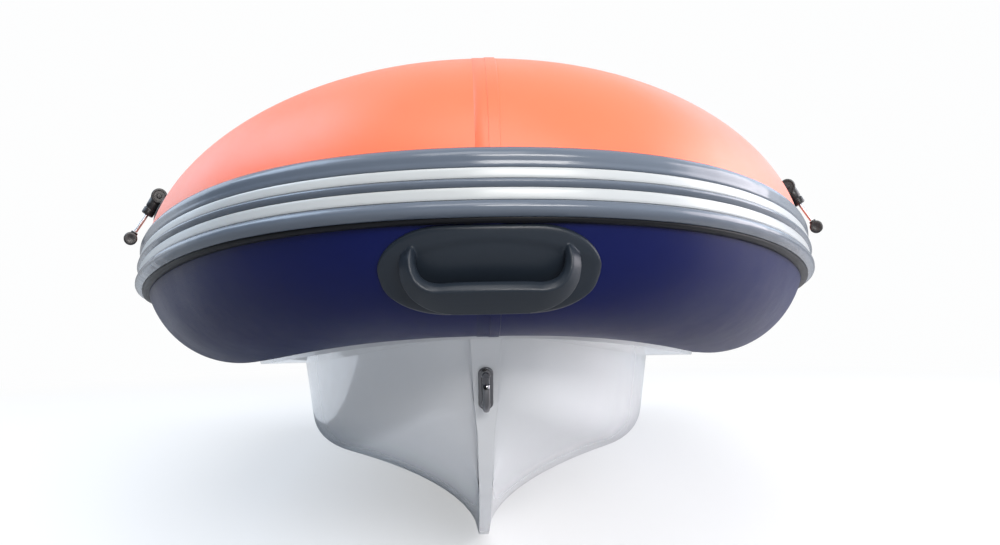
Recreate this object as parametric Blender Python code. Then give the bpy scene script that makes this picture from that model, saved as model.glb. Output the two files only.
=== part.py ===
"""Rigid inflatable boat, 3.6 m: inflated tube collar on a deep V glass-fibre hull.

Frame: metres, +Z up. The bow points to -Y and +X is the port side. The origin lies amidships
on the centreplane, at the waterline. Inside the script a place is given as (x, aft, up): aft
counts from the foremost point of the tube's centreline, and up from the side tubes' axis.
"""
from collections import namedtuple
from math import cos, degrees, hypot, pi, radians, sin, sqrt

import bpy
import bmesh
from mathutils import Matrix, Vector

# Place of the tube's centreline in the part's frame
BOW_Y = -1.54
AXIS_Z = 0.42
GAP = 0.0003

# Tube: radius, plan of its centreline, sheer and stern cones
TUBE_RADIUS = 0.22
HALF_SPACING = 0.61
BOW_LENGTH = 1.07
BOW_FULLNESS = 2.11
SHOULDER_FULLNESS = 1.22
SHEER_RISE = 0.14
SHEER_LENGTH = 2.7
SHEER_POWER = 3.0
BOW_TURN = 0.0
SIDE_TURN = -3.6
TURN_LENGTH = 1.2
BOW_STEPS = 20
TRANSOM_AFT = 2.85
CONE_AFT = (2.93, 3.03, 3.13, 3.21, 3.26)
CONE_RADIUS = (0.213, 0.190, 0.150, 0.105, 0.072)
CAP_LENGTH = 0.062

# Rub strake: half its angle on the tube, its height and where its bands end, top to bottom
STRAKE_HALF_ANGLE = 14.0
STRAKE_WIDTH = 0.1075
STRIPE_DEPTH = 0.003
TOP_BAND = 0.0275
UPPER_STRIPE_END = 0.0420
MIDDLE_BAND_END = 0.0545
LOWER_STRIPE_END = 0.0705
BOTTOM_BAND_END = 0.0905

# Hull: shelf under the tube, stem, keel and chine
SHELF_ANGLES = (-98.0, -112.0, -126.0, -145.0)
SHELF_THICKNESS = 0.008
CREASE_INSET = 0.158
CREASE_DROP = 0.225
RIM_INSET = 0.194
STEM_TOP_UP = -0.090
STEM_CURVE = ((0.15, STEM_TOP_UP), (0.24, -0.26), (0.38, -0.60), (0.90, -0.575))
KEEL_END_UP = -0.580
STEM_BAND = ((0.15, 0.0270), (0.22, 0.0205), (0.255, 0.0145), (0.36, 0.0120), (0.60, 0.0090),
             (1.00, 0.0080))
CHINE_BOW = (0.213, -0.208)
CHINE_STERN_UP = -0.415
CHINE_POWER = 6.0
CHINE_INSET_BOW = 0.075
CHINE_INSET_SIDE = 0.025
CHINE_ROUNDING = 0.16
HOLLOW_POWER = 0.50
KEEL_LAG = 0.30

# Cockpit, transom and fittings
FLOOR_UP = -0.190
COCKPIT_FRONT = 1.16
COCKPIT_BACK = 2.795
FOREDECK_FRONT = 0.55
FOREDECK_UP = -0.075
DECK_THICKNESS = 0.016
MAT_THICKNESS = 0.006
TRANSOM_TOP_UP = -0.06
SHOULDER_UP = 0.108
PAD_HEIGHT = 0.106
PAD_DEPTH = 0.006
STERN_EYE = (0.32, -0.085)
EYE_AFT = 0.197
EYE_PLATE = 0.003
END_SHARE = 0.18

# Bow handle: half its width, angles of its patch and of the ends and middle of its grip
HANDLE_HALF_WIDTH = 0.153
HANDLE_ANGLES = (-54.7, -14.9)
GRIP_HALF_WIDTH = 0.108
GRIP_TOP_ANGLE = -23.0
GRIP_ANGLE = -40.5

# Rowlocks: share of the bow curve, angle and height of the hub, angle and height of the knob
ROWLOCK_SHARE = 0.637
HUB_ANGLE = 39.3
HUB_HEIGHT = 0.025
HUB_RADIUS = 0.0205
KNOB_ANGLE = 13.4
KNOB_HEIGHT = 0.035

Station = namedtuple("Station", "x aft up out_x out_aft turn radius")


def clear_scene():
    """Take away what the file holds."""
    for item in list(bpy.data.objects):
        bpy.data.objects.remove(item, do_unlink=True)


def material(name, colour, roughness, metallic=0.0):
    """One Principled material."""
    made = bpy.data.materials.new(name)
    made.use_nodes = True
    shader = made.node_tree.nodes["Principled BSDF"]
    shader.inputs["Base Color"].default_value = (*colour, 1.0)
    shader.inputs["Roughness"].default_value = roughness
    shader.inputs["Metallic"].default_value = metallic
    return made


def place(x, aft, up):
    """A place on the boat as a point of the part's frame."""
    return Vector((x, BOW_Y + aft, AXIS_Z + up))


def link(name, mesh, paint, smooth_angle=35.0):
    """Make an object of a mesh, with its material and smooth round faces."""
    mesh.materials.append(paint)
    mesh.shade_smooth()
    mesh.set_sharp_from_angle(angle=radians(smooth_angle))
    made = bpy.data.objects.new(name, mesh)
    bpy.context.scene.collection.objects.link(made)
    return made


def solid(name, points, faces, paint, smooth_angle=35.0):
    """Make a closed solid from points and faces, its faces turned outwards."""
    mesh = bpy.data.meshes.new(name)
    mesh.from_pydata([tuple(p) for p in points], [], faces)
    work = bmesh.new()
    work.from_mesh(mesh)
    bmesh.ops.remove_doubles(work, verts=work.verts, dist=0.00002)
    bmesh.ops.recalc_face_normals(work, faces=work.faces)
    work.to_mesh(mesh)
    work.free()
    return link(name, mesh, paint, smooth_angle)


def combine(target, other, operation):
    """Join a solid to another, or cut it away, and drop the tool."""
    cut = target.modifiers.new(operation.lower(), "BOOLEAN")
    cut.operation = operation
    cut.solver = "EXACT"
    cut.object = other
    bpy.context.view_layer.update()
    graph = bpy.context.evaluated_depsgraph_get()
    result = bpy.data.meshes.new_from_object(target.evaluated_get(graph))
    target.modifiers.clear()
    target.data = result
    bpy.data.objects.remove(other, do_unlink=True)
    result.shade_smooth()
    result.set_sharp_from_angle(angle=radians(35.0))
    return target


# Tube path

def sheer(aft):
    """Rise of the tube's axis towards the bow."""
    return SHEER_RISE * max(0.0, 1.0 - aft / SHEER_LENGTH) ** SHEER_POWER


def turn_at(aft):
    """Angle by which the strake sits higher or lower on the tube."""
    share = min(1.0, max(0.0, aft / TURN_LENGTH))
    return BOW_TURN + (SIDE_TURN - BOW_TURN) * share


def plan_point(share):
    """Point (x, aft) of the bow curve, from the centreplane (0) to the straight side (1)."""
    angle = share * pi / 2.0
    x = HALF_SPACING * sin(angle) ** (2.0 / BOW_FULLNESS)
    aft = BOW_LENGTH * (1.0 - max(0.0, cos(angle)) ** (2.0 / SHOULDER_FULLNESS))
    return x, aft


def bow_station(share):
    """Station on the bow curve."""
    x, aft = plan_point(share)
    out_x, out_aft = 0.0, -1.0
    if share >= 1.0:
        out_x, out_aft = 1.0, 0.0
    elif share > 0.0:
        x0, aft0 = plan_point(share - 0.002)
        x1, aft1 = plan_point(min(1.0, share + 0.002))
        run = hypot(x1 - x0, aft1 - aft0)
        out_x, out_aft = (aft1 - aft0) / run, -(x1 - x0) / run
    return Station(x, aft, sheer(aft), out_x, out_aft, turn_at(aft), TUBE_RADIUS)


def straight_station(aft, radius=TUBE_RADIUS):
    """Station on the straight side."""
    return Station(HALF_SPACING, aft, sheer(aft), 1.0, 0.0, turn_at(aft), radius)


def half_path():
    """Stations of the port half, from the bow to the transom.

    The step next to the straight side is left out, since the curve is tight there.
    """
    stations = [bow_station(i / BOW_STEPS) for i in range(BOW_STEPS + 1) if i != BOW_STEPS - 1]
    straight = TRANSOM_AFT - BOW_LENGTH
    steps = 8
    stations += [straight_station(BOW_LENGTH + straight * i / steps) for i in range(1, steps + 1)]
    return stations


def mirrored(station):
    """The same station on the starboard side."""
    return station._replace(x=-station.x, out_x=-station.out_x)


def whole_path(half):
    """Stations from the starboard stern round the bow to the port stern."""
    return [mirrored(s) for s in reversed(half[1:])] + half


def ring_point(station, angle, height=0.0, lift=0.0):
    """Point on the tube's skin: 0 degrees is outboard and 90 is on top."""
    turned = radians(angle + station.turn)
    reach = (station.radius + height) * cos(turned)
    return place(station.x + station.out_x * reach,
                 station.aft + station.out_aft * reach,
                 station.up + (station.radius + height) * sin(turned) + lift)


def inset_point(station, inset, drop):
    """Point inboard of the tube's axis and below it."""
    return place(station.x - station.out_x * inset, station.aft - station.out_aft * inset,
                 station.up - drop)


def split_quad(a, b, c, d, key_a, key_b):
    """Two triangles of a quad, with the same diagonal on both sides of a joint."""
    if key_a < key_b:
        return [(a, b, c), (a, c, d)]
    return [(a, b, d), (b, c, d)]


def sweep(name, stations, profile, paint):
    """Closed solid that carries a profile of (angle, height, lift) along the stations."""
    points = [ring_point(s, *corner) for s in stations for corner in profile]
    count = len(profile)
    keys = [round(corner[0] % 360.0, 4) for corner in profile]
    faces = []
    for i in range(len(stations) - 1):
        for j in range(count):
            k = (j + 1) % count
            a, b = i * count + j, i * count + k
            faces += split_quad(a, b, b + count, a + count, keys[j], keys[k])
    faces.append(tuple(range(count)))
    faces.append(tuple(reversed(range((len(stations) - 1) * count, len(stations) * count))))
    return solid(name, points, faces, paint)


UPPER_ANGLES = (0.0, 7.0, 14.0, 29.0, 45.0, 60.0, 75.0, 90.0, 105.0, 120.0, 135.0, 150.0,
                165.0, 180.0)
LOWER_ANGLES = (0.0, -7.0, -14.0, -28.0, -43.0, -57.0, -71.0, -85.0, *SHELF_ANGLES, -162.0,
                -180.0)


def tubes(paints):
    """Orange upper and navy lower half of the tube, with their stern cones, and end caps."""
    half = half_path()
    with_cones = half + [straight_station(a, r) for a, r in zip(CONE_AFT, CONE_RADIUS)]
    path = whole_path(with_cones)
    sweep("tube_upper", path, [(a, 0.0, GAP / 2) for a in UPPER_ANGLES], paints["orange"])
    sweep("tube_lower", path, [(a, 0.0, -GAP / 2) for a in LOWER_ANGLES], paints["navy"])
    end = with_cones[-1]
    profile = [(0.0, end.radius + 0.006), (0.012, end.radius + 0.006),
               (0.030, end.radius - 0.008), (0.048, end.radius - 0.032), (CAP_LENGTH, 0.018)]
    for side, name in ((1, "port"), (-1, "starboard")):
        rings = []
        for step, radius in profile:
            centre = place(side * end.x, end.aft + GAP + step, end.up)
            rings.append([centre + Vector((radius * cos(t), 0.0, radius * sin(t)))
                          for t in (2 * pi * i / 20 for i in range(20))])
        loft("cone_cap_" + name, rings, paints["cap"])


def loft(name, rings, paint, smooth_angle=35.0):
    """Solid through closed rings of equal length, with flat ends."""
    count = len(rings[0])
    points = [p for ring in rings for p in ring]
    faces = []
    for i in range(len(rings) - 1):
        for j in range(count):
            k = (j + 1) % count
            faces.append((i * count + j, i * count + k, (i + 1) * count + k, (i + 1) * count + j))
    faces.append(tuple(range(count)))
    faces.append(tuple(reversed(range((len(rings) - 1) * count, len(rings) * count))))
    return solid(name, points, faces, paint, smooth_angle)


# Rub strake

def strake_angle(arc):
    """Angle on the tube of a place that lies so far below the strake's top edge."""
    return STRAKE_HALF_ANGLE * (1.0 - 2.0 * arc / STRAKE_WIDTH)


def strake(paints):
    """Grey moulding with two grooves, an off-white inlay in each, and the black lip."""
    path = whole_path(half_path())
    back = [STRAKE_HALF_ANGLE * (i / 2.0 - 1.0) for i in range(5)]
    outer = [(0.0, 0.0015), (0.004, 0.007), (0.012, 0.0115), (0.022, 0.0105),
             (TOP_BAND, 0.0098), (TOP_BAND, 0.0098 - STRIPE_DEPTH),
             (UPPER_STRIPE_END, 0.0102 - STRIPE_DEPTH), (UPPER_STRIPE_END, 0.0115),
             (0.0483, 0.0158), (MIDDLE_BAND_END, 0.0125),
             (MIDDLE_BAND_END, 0.0125 - STRIPE_DEPTH),
             (LOWER_STRIPE_END, 0.0145 - STRIPE_DEPTH), (LOWER_STRIPE_END, 0.0160),
             (0.076, 0.0215), (0.082, 0.0245), (0.088, 0.0225), (BOTTOM_BAND_END, 0.0195)]
    body = [(strake_angle(arc), height, 0.0) for arc, height in outer]
    end = strake_angle(BOTTOM_BAND_END)
    body += [(end, GAP, 0.0)]
    body += [(a, GAP, 0.0) for a in back if a > end + 0.1]
    sweep("rub_strake", path, body, paints["strake"])
    side = degrees(GAP / TUBE_RADIUS)
    for name, start, stop, low, high in (
            ("strake_stripe_upper", TOP_BAND, UPPER_STRIPE_END, 0.0098, 0.0102),
            ("strake_stripe_lower", MIDDLE_BAND_END, LOWER_STRIPE_END, 0.0125, 0.0145)):
        first, last = strake_angle(start) - side, strake_angle(stop) + side
        sweep(name, path, [(first, low + GAP, 0.0), (last, high + GAP, 0.0),
                           (last, high - STRIPE_DEPTH + GAP, 0.0),
                           (first, low - STRIPE_DEPTH + GAP, 0.0)], paints["stripe"])
    top = end - side
    sweep("strake_lip", path, [(top, 0.0185, 0.0), (strake_angle(0.097), 0.0150, 0.0),
                               (-STRAKE_HALF_ANGLE, 0.0030, 0.0), (-STRAKE_HALF_ANGLE, GAP, 0.0),
                               (top, GAP, 0.0)], paints["lip"])


# Hull

def bezier(points, share):
    """Point on a cubic curve of (aft, up)."""
    a, b, c, d = points
    m = 1.0 - share
    weights = (m ** 3, 3 * m * m * share, 3 * m * share * share, share ** 3)
    return tuple(sum(w * p[i] for w, p in zip(weights, (a, b, c, d))) for i in range(2))


def keel_point(aft):
    """Height of the stem and keel at a distance aft."""
    if aft >= STEM_CURVE[-1][0]:
        share = (aft - STEM_CURVE[-1][0]) / (TRANSOM_AFT - STEM_CURVE[-1][0])
        return STEM_CURVE[-1][1] + (KEEL_END_UP - STEM_CURVE[-1][1]) * share
    low, high = 0.0, 1.0
    for _ in range(40):
        middle = (low + high) / 2.0
        if bezier(STEM_CURVE, middle)[0] < aft:
            low = middle
        else:
            high = middle
    return bezier(STEM_CURVE, low)[1]


def keel_half_width(aft):
    """Half the width of the flat band on the stem and keel."""
    for (a0, width0), (a1, width1) in zip(STEM_BAND, STEM_BAND[1:]):
        if aft <= a1:
            return width0 + (width1 - width0) * max(0.0, aft - a0) / (a1 - a0)
    return STEM_BAND[-1][1]


def chine_up(aft):
    """Height of the chine."""
    share = max(0.0, 1.0 - (aft - CHINE_BOW[0]) / (TRANSOM_AFT - CHINE_BOW[0]))
    return CHINE_STERN_UP + (CHINE_BOW[1] - CHINE_STERN_UP) * share ** CHINE_POWER


def hull_row(station):
    """One rib: rim, tube bed, shelf edge, crease, side, rounded chine, bottom and keel."""
    ahead = 1.0 - abs(station.out_x)
    rim_up = ring_point(station, SHELF_ANGLES[-1], GAP)
    rim = inset_point(station, RIM_INSET, 0.0)
    rim.z = rim_up.z
    row = [rim]
    row += [ring_point(station, angle, GAP) for angle in reversed(SHELF_ANGLES)]
    row.append(ring_point(station, SHELF_ANGLES[0], SHELF_THICKNESS))
    crease = inset_point(station, CREASE_INSET, CREASE_DROP)
    inset = CREASE_INSET + CHINE_INSET_SIDE + (CHINE_INSET_BOW - CHINE_INSET_SIDE) * ahead
    chine = inset_point(station, inset, 0.0)
    chine_aft = chine.y - BOW_Y
    chine.z = AXIS_Z + chine_up(chine_aft)
    keel_aft = min(TRANSOM_AFT, (crease.y - BOW_Y) + KEEL_LAG * ahead ** 0.5
                   * max(0.0, 1.0 - station.aft / TRANSOM_AFT))
    keel = place(0.0, keel_aft, keel_point(keel_aft))
    if ahead > 0.999:
        crease = place(0.0, *STEM_CURVE[0])
        chine = place(0.0, CHINE_BOW[0], keel_point(CHINE_BOW[0]))
    keel.x = keel_half_width(keel_aft)
    crease.x = max(abs(crease.x), keel_half_width(crease.y - BOW_Y))
    chine.x = max(abs(chine.x), keel_half_width(chine.y - BOW_Y))
    rib = [crease]
    power = 1.0 + (HOLLOW_POWER - 1.0) * (1.0 - ahead)
    for share in (0.35, 0.68):
        rib.append(crease.lerp(chine, share))
    control = [rib[-1], chine, bottom_point(chine, keel, CHINE_ROUNDING, power)]
    for share in (0.25, 0.5, 0.75):
        m = 1.0 - share
        rib.append(control[0] * m * m + control[1] * 2 * m * share + control[2] * share * share)
    for share in (CHINE_ROUNDING, 0.33, 0.5, 0.66, 0.80, 0.91):
        rib.append(bottom_point(chine, keel, share, power))
    rib.append(keel)
    if ahead > 0.999:
        for point in rib:
            aft = point.y - BOW_Y
            point.z = AXIS_Z + keel_point(aft)
            point.x = keel_half_width(aft)
    sign = -1.0 if station.x < 0.0 else 1.0
    for point in rib:
        point.x *= sign
    return row + rib


def bottom_point(chine, keel, share, power):
    """Point between chine and keel; a power under one makes the V steeper at the keel."""
    point = chine.lerp(keel, share)
    point.z = keel.z + (chine.z - keel.z) * (1.0 - share) ** power
    return point


def hull(paints):
    """The glass-fibre hull up to the rim, with the cockpit and the foredeck cut into it."""
    half = half_path()
    rows = []
    for station in whole_path(half):
        if station.x == 0.0:
            first = hull_row(station)
            for point in first:
                point.x = -point.x
            rows.append(first)
        rows.append(hull_row(station))
    count = len(rows[0])
    points = [p for row in rows for p in row]
    keys = [0] + [round(a % 360.0, 4) for a in reversed(SHELF_ANGLES)]
    keys += list(range(400, 400 + count - len(keys)))
    faces = []
    for i in range(len(rows) - 1):
        for j in range(count - 1):
            a = i * count + j
            faces += split_quad(a, a + 1, a + 1 + count, a + count, keys[j], keys[j + 1])
    middle = len(rows) // 2
    for i in range(middle - 1):
        a, b = i, len(rows) - 1 - i
        for j in (0, count - 1):
            faces.append((a * count + j, (a + 1) * count + j, (b - 1) * count + j, b * count + j))
    faces.append(tuple(range(count)) + tuple((len(rows) - 1) * count + j
                                             for j in reversed(range(count))))
    made = solid("hull", points, faces, paints["gelcoat"])
    cockpit = inner_outline(RIM_INSET + 0.004, COCKPIT_FRONT, COCKPIT_BACK)
    combine(made, prism("cockpit", cockpit, FLOOR_UP, 0.3, paints["gelcoat"]), "DIFFERENCE")
    fore = inner_outline(RIM_INSET + 0.004, FOREDECK_FRONT, COCKPIT_FRONT + 0.05)
    combine(made, prism("foredeck", fore, FOREDECK_UP, 0.3, paints["gelcoat"]), "DIFFERENCE")
    return made


def inner_curve(inset):
    """Points (aft, x) of the line that runs so far inboard of the tube's axis, port side."""
    line = []
    for station in half_path() + [straight_station(TRANSOM_AFT + 0.2)]:
        x = station.x - station.out_x * inset
        aft = station.aft - station.out_aft * inset
        if x > 0.0 and (not line or aft > line[-1][0]):
            line.append((aft, x))
    return line


def inner_outline(inset, front, back):
    """Outline (x, aft) between the tubes, symmetric, counted from the front port corner."""
    line = inner_curve(inset)

    def half_width(aft):
        for (a0, x0), (a1, x1) in zip(line, line[1:]):
            if a0 <= aft <= a1:
                return x0 + (x1 - x0) * (aft - a0) / (a1 - a0)
        return line[-1][1]

    inside = [(x, aft) for aft, x in line if front + 0.01 < aft < back - 0.01]
    port = [(half_width(front), front)] + inside + [(half_width(back), back)]
    return port + [(-x, aft) for x, aft in reversed(port)]


def prism(name, outline, low, high, paint):
    """Upright solid over an outline of (x, aft)."""
    rings = [[place(x, aft, up) for x, aft in outline] for up in (low, high)]
    return loft(name, rings, paint)


def box(name, low, high, paint, bevel=0.0):
    """Box between two places (x, aft, up), with its edges rounded if asked."""
    outline = [(low[0], low[1]), (high[0], low[1]), (high[0], high[1]), (low[0], high[1])]
    made = prism(name, outline, low[2], high[2], paint)
    if bevel:
        soften(made, bevel)
    return made


def soften(target, width, segments=2, angle=40.0):
    """Round the sharp edges."""
    edge = target.modifiers.new("edges", "BEVEL")
    edge.width = width
    edge.segments = segments
    edge.limit_method = "ANGLE"
    edge.angle_limit = radians(angle)
    return target


def rod(name, start, end, radius, paint, sides=16):
    """Round bar between two points of the part's frame."""
    axis = (end - start).normalized()
    across = axis.orthogonal().normalized()
    other = axis.cross(across)
    rings = [[p + (across * cos(t) + other * sin(t)) * radius
              for t in (2 * pi * i / sides for i in range(sides))] for p in (start, end)]
    return loft(name, rings, paint)


def turned(name, base, axis, profile, paint, sides=20):
    """Turned solid: (along, radius) pairs from the base point along an axis."""
    axis = axis.normalized()
    across = axis.orthogonal().normalized()
    other = axis.cross(across)
    rings = [[base + axis * along + (across * cos(t) + other * sin(t)) * radius
              for t in (2 * pi * i / sides for i in range(sides))] for along, radius in profile]
    return loft(name, rings, paint)


def bent_bar(name, points, radius, paint, sides=3):
    """Round bar along points of the part's frame, as a curve with filled ends."""
    curve = bpy.data.curves.new(name, "CURVE")
    curve.dimensions = "3D"
    curve.bevel_depth = radius
    curve.bevel_resolution = sides
    curve.use_fill_caps = True
    line = curve.splines.new("POLY")
    line.points.add(len(points) - 1)
    for spot, point in zip(line.points, points):
        spot.co = (*point, 1.0)
    curve.materials.append(paint)
    made = bpy.data.objects.new(name, curve)
    bpy.context.scene.collection.objects.link(made)
    return made


def as_mesh(item):
    """Turn a curve object into a mesh object of the same name."""
    graph = bpy.context.evaluated_depsgraph_get()
    mesh = bpy.data.meshes.new_from_object(item.evaluated_get(graph))
    name, paint = item.name, item.data.materials[0]
    bpy.data.objects.remove(item, do_unlink=True)
    if not mesh.materials:
        mesh.materials.append(paint)
    made = bpy.data.objects.new(name, mesh)
    bpy.context.scene.collection.objects.link(made)
    return made


def arc_points(corner, first, last, radius, steps=5):
    """Points of a rounded corner between two straight runs."""
    start = corner + (first - corner).normalized() * radius
    end = corner + (last - corner).normalized() * radius
    return [start * (1 - s) ** 2 + corner * 2 * (1 - s) * s + end * s * s
            for s in (i / steps for i in range(steps + 1))]


def rounded_route(corners, radius, steps=5):
    """Route through corners, each one rounded."""
    route = [corners[0]]
    for before, corner, after in zip(corners, corners[1:], corners[2:]):
        route += arc_points(corner, before, after, radius, steps)
    return route + [corners[-1]]


# Transom and stern fittings

def transom(paints):
    """Transom board between the tubes, its pads, the stern eyes and the drain plug."""
    station = straight_station(TRANSOM_AFT)
    rim_up = ring_point(station, SHELF_ANGLES[-1], GAP).z - AXIS_Z + 2 * GAP
    side = [ring_point(station, a, GAP) for a in (-145.0, -162.0, -180.0, 165.0, 152.0)]
    port = [(p.x, p.z - AXIS_Z) for p in side]
    port[0] = (HALF_SPACING - RIM_INSET - 0.002, rim_up)
    shoulder = [(port[-1][0] - 0.015, SHOULDER_UP), (0.29, SHOULDER_UP), (0.21, TRANSOM_TOP_UP)]
    outline = port + shoulder
    outline += [(-x, up) for x, up in reversed(outline)]
    rings = [[place(x, aft, up) for x, up in outline] for aft in (COCKPIT_BACK, TRANSOM_AFT)]
    loft("transom", rings, paints["gelcoat"])
    for name, aft in (("transom_pad_outer", TRANSOM_AFT + GAP),
                      ("transom_pad_inner", COCKPIT_BACK - GAP - PAD_DEPTH)):
        box(name, (-0.14, aft, TRANSOM_TOP_UP - 0.004 - PAD_HEIGHT),
            (0.14, aft + PAD_DEPTH, TRANSOM_TOP_UP - 0.004), paints["aluminium"])
    for name, side in (("stern_eye_port", 1), ("stern_eye_starboard", -1)):
        foot = place(side * STERN_EYE[0], TRANSOM_AFT + GAP, STERN_EYE[1])
        u_bolt(name, foot, Vector((0, 1, 0)), Vector((0, 0, 1)), 0.052, 0.038, 0.004, 0.028,
               paints["steel"])
    turned("drain_plug", place(0.06, TRANSOM_AFT + GAP, -0.24), Vector((0, 1, 0)),
           [(0.0, 0.020), (0.004, 0.020), (0.0042, 0.013), (0.014, 0.012)], paints["black"])


def u_bolt(name, foot, out, along, spacing, reach, wire, plate_width, paint):
    """Eye of bent wire on an oblong plate: spacing between its legs, reach of its bow."""
    across = out.cross(along)
    half, round_end = spacing / 2.0, plate_width / 2.0
    ring = []
    for end in (1.0, -1.0):
        for i in range(11):
            t = end * (-pi / 2 + pi * i / 10)
            ring.append((end * half + end * round_end * cos(t), round_end * sin(t)))
    rings = [[foot + along * a + across * b + out * d for a, b in ring]
             for d in (0.0, EYE_PLATE)]
    plate = loft(name, rings, paint)
    start = out * (EYE_PLATE - 0.001)
    corners = [foot + along * half + start, foot + along * half + out * reach,
               foot - along * half + out * reach, foot - along * half + start]
    wire_bar = as_mesh(bent_bar(name + "_wire", rounded_route(corners, half * 0.95, 6), wire,
                                paint))
    return combine(plate, wire_bar, "UNION")


def bow_eye(paints):
    """Stainless eye on the stem band."""
    up = keel_point(EYE_AFT)
    rise = keel_point(EYE_AFT + 0.01) - keel_point(EYE_AFT - 0.01)
    slope = Vector((0.0, 0.02, rise)).normalized()
    out = Vector((0.0, slope.z, -slope.y)).normalized()
    foot = place(0.0, EYE_AFT, up) + out * 0.0004
    u_bolt("bow_eye", foot, out, slope, 0.050, 0.036, 0.0055, 0.027, paints["steel"])


# Deck, locker and seat

def deck(paints):
    """Deck liner and its non-slip mats."""
    outline = inner_outline(RIM_INSET + 0.006, COCKPIT_FRONT + 0.003, COCKPIT_BACK - 0.003)
    low = FLOOR_UP + GAP
    prism("deck_liner", outline, low, low + DECK_THICKNESS, paints["liner"])
    top = low + DECK_THICKNESS + GAP
    for name, front, back in (("deck_mat_fore", 1.22, 1.74), ("deck_mat_aft", 2.22, 2.70)):
        prism(name, inner_outline(RIM_INSET + 0.045, front, back), top, top + MAT_THICKNESS,
              paints["mat"])


LOCKER_FRONT = 0.66
LOCKER_BACK = 1.13
LOCKER_INSET = 0.236
LOCKER_TOP = 0.066
WALL = 0.012
LID_THICKNESS = 0.014
ROD_RADIUS = 0.004
HINGE_BEHIND = 0.008
SEAT_HALF = 0.26
SEAT_FRONT = 1.80
SEAT_BACK = 2.16
SEAT_TOP = 0.10


def hinge_bar(name, aft, up, half, paint):
    """Hinge rod with the leaf that fixes it to the box wall behind it."""
    profile = [(aft - 0.0077, up - 0.030), (aft - 0.0055, up - 0.030), (aft - 0.0055, up - 0.006)]
    steps = 12
    for i in range(steps + 1):
        t = radians(-125.0 + 290.0 * i / steps)
        profile.append((aft + ROD_RADIUS * cos(t), up + ROD_RADIUS * sin(t)))
    profile.append((aft - 0.0077, up - 0.001))
    rings = [[place(x, a, u) for a, u in profile] for x in (-half, half)]
    return loft(name, rings, paint)


def bow_locker(paints):
    """Open box on the foredeck with its hinged lid, hinge and latch."""
    low = FOREDECK_UP + GAP
    outer = inner_outline(LOCKER_INSET, LOCKER_FRONT, LOCKER_BACK)
    made = prism("bow_locker", outer, low, LOCKER_TOP, paints["liner"])
    hollow = inner_outline(LOCKER_INSET + WALL, LOCKER_FRONT + WALL, LOCKER_BACK - WALL)
    combine(made, prism("locker_hollow", hollow, low + 0.010, LOCKER_TOP + 0.1, paints["liner"]),
            "DIFFERENCE")
    lid = inner_outline(LOCKER_INSET - 0.006, LOCKER_FRONT - 0.006, LOCKER_BACK - 0.001)
    top = LOCKER_TOP + GAP
    soften(prism("bow_locker_lid", lid, top, top + LID_THICKNESS, paints["liner"]), 0.004)
    hinge_bar("bow_locker_hinge", LOCKER_BACK + HINGE_BEHIND, LOCKER_TOP, 0.16, paints["steel"])
    box("bow_locker_latch", (-0.022, LOCKER_FRONT + 0.02, top + LID_THICKNESS + GAP),
        (0.022, LOCKER_FRONT + 0.06, top + LID_THICKNESS + 0.010), paints["black"], 0.003)


def seat(paints):
    """Bench box with a hinged lid that carries the cushion."""
    low = FLOOR_UP + DECK_THICKNESS + 2 * GAP
    made = box("seat_box", (-SEAT_HALF, SEAT_FRONT, low), (SEAT_HALF, SEAT_BACK, SEAT_TOP),
               paints["liner"])
    hollow = box("seat_hollow", (-SEAT_HALF + WALL, SEAT_FRONT + WALL, low + 0.010),
                 (SEAT_HALF - WALL, SEAT_BACK - WALL, SEAT_TOP + 0.1), paints["liner"])
    combine(made, hollow, "DIFFERENCE")
    top = SEAT_TOP + GAP
    box("seat_lid", (-SEAT_HALF - 0.006, SEAT_FRONT - 0.006, top),
        (SEAT_HALF + 0.006, SEAT_BACK - 0.001, top + LID_THICKNESS), paints["liner"], 0.004)
    cushion_low = top + LID_THICKNESS + GAP
    box("seat_cushion", (-SEAT_HALF + 0.004, SEAT_FRONT + 0.004, cushion_low),
        (SEAT_HALF - 0.004, SEAT_BACK - 0.022, cushion_low + 0.052), paints["cushion"], 0.016)
    hinge_bar("seat_hinge", SEAT_BACK + HINGE_BEHIND, SEAT_TOP, 0.22, paints["steel"])
    box("seat_latch", (-0.020, SEAT_FRONT - 0.012, SEAT_TOP - 0.050),
        (0.020, SEAT_FRONT - GAP, SEAT_TOP - 0.010), paints["black"], 0.003)


# Handles, valves and rowlocks on the tube

def skin_frame(station, angle, height):
    """Point on the tube's skin with its outward, forward and upward directions."""
    turned_angle = radians(angle)
    normal = Vector((station.out_x * cos(turned_angle), station.out_aft * cos(turned_angle),
                     sin(turned_angle)))
    along = Vector((-station.out_aft, station.out_x, 0.0))
    centre = place(station.x, station.aft, station.up)
    return centre + normal * (station.radius + height), normal, along


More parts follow.
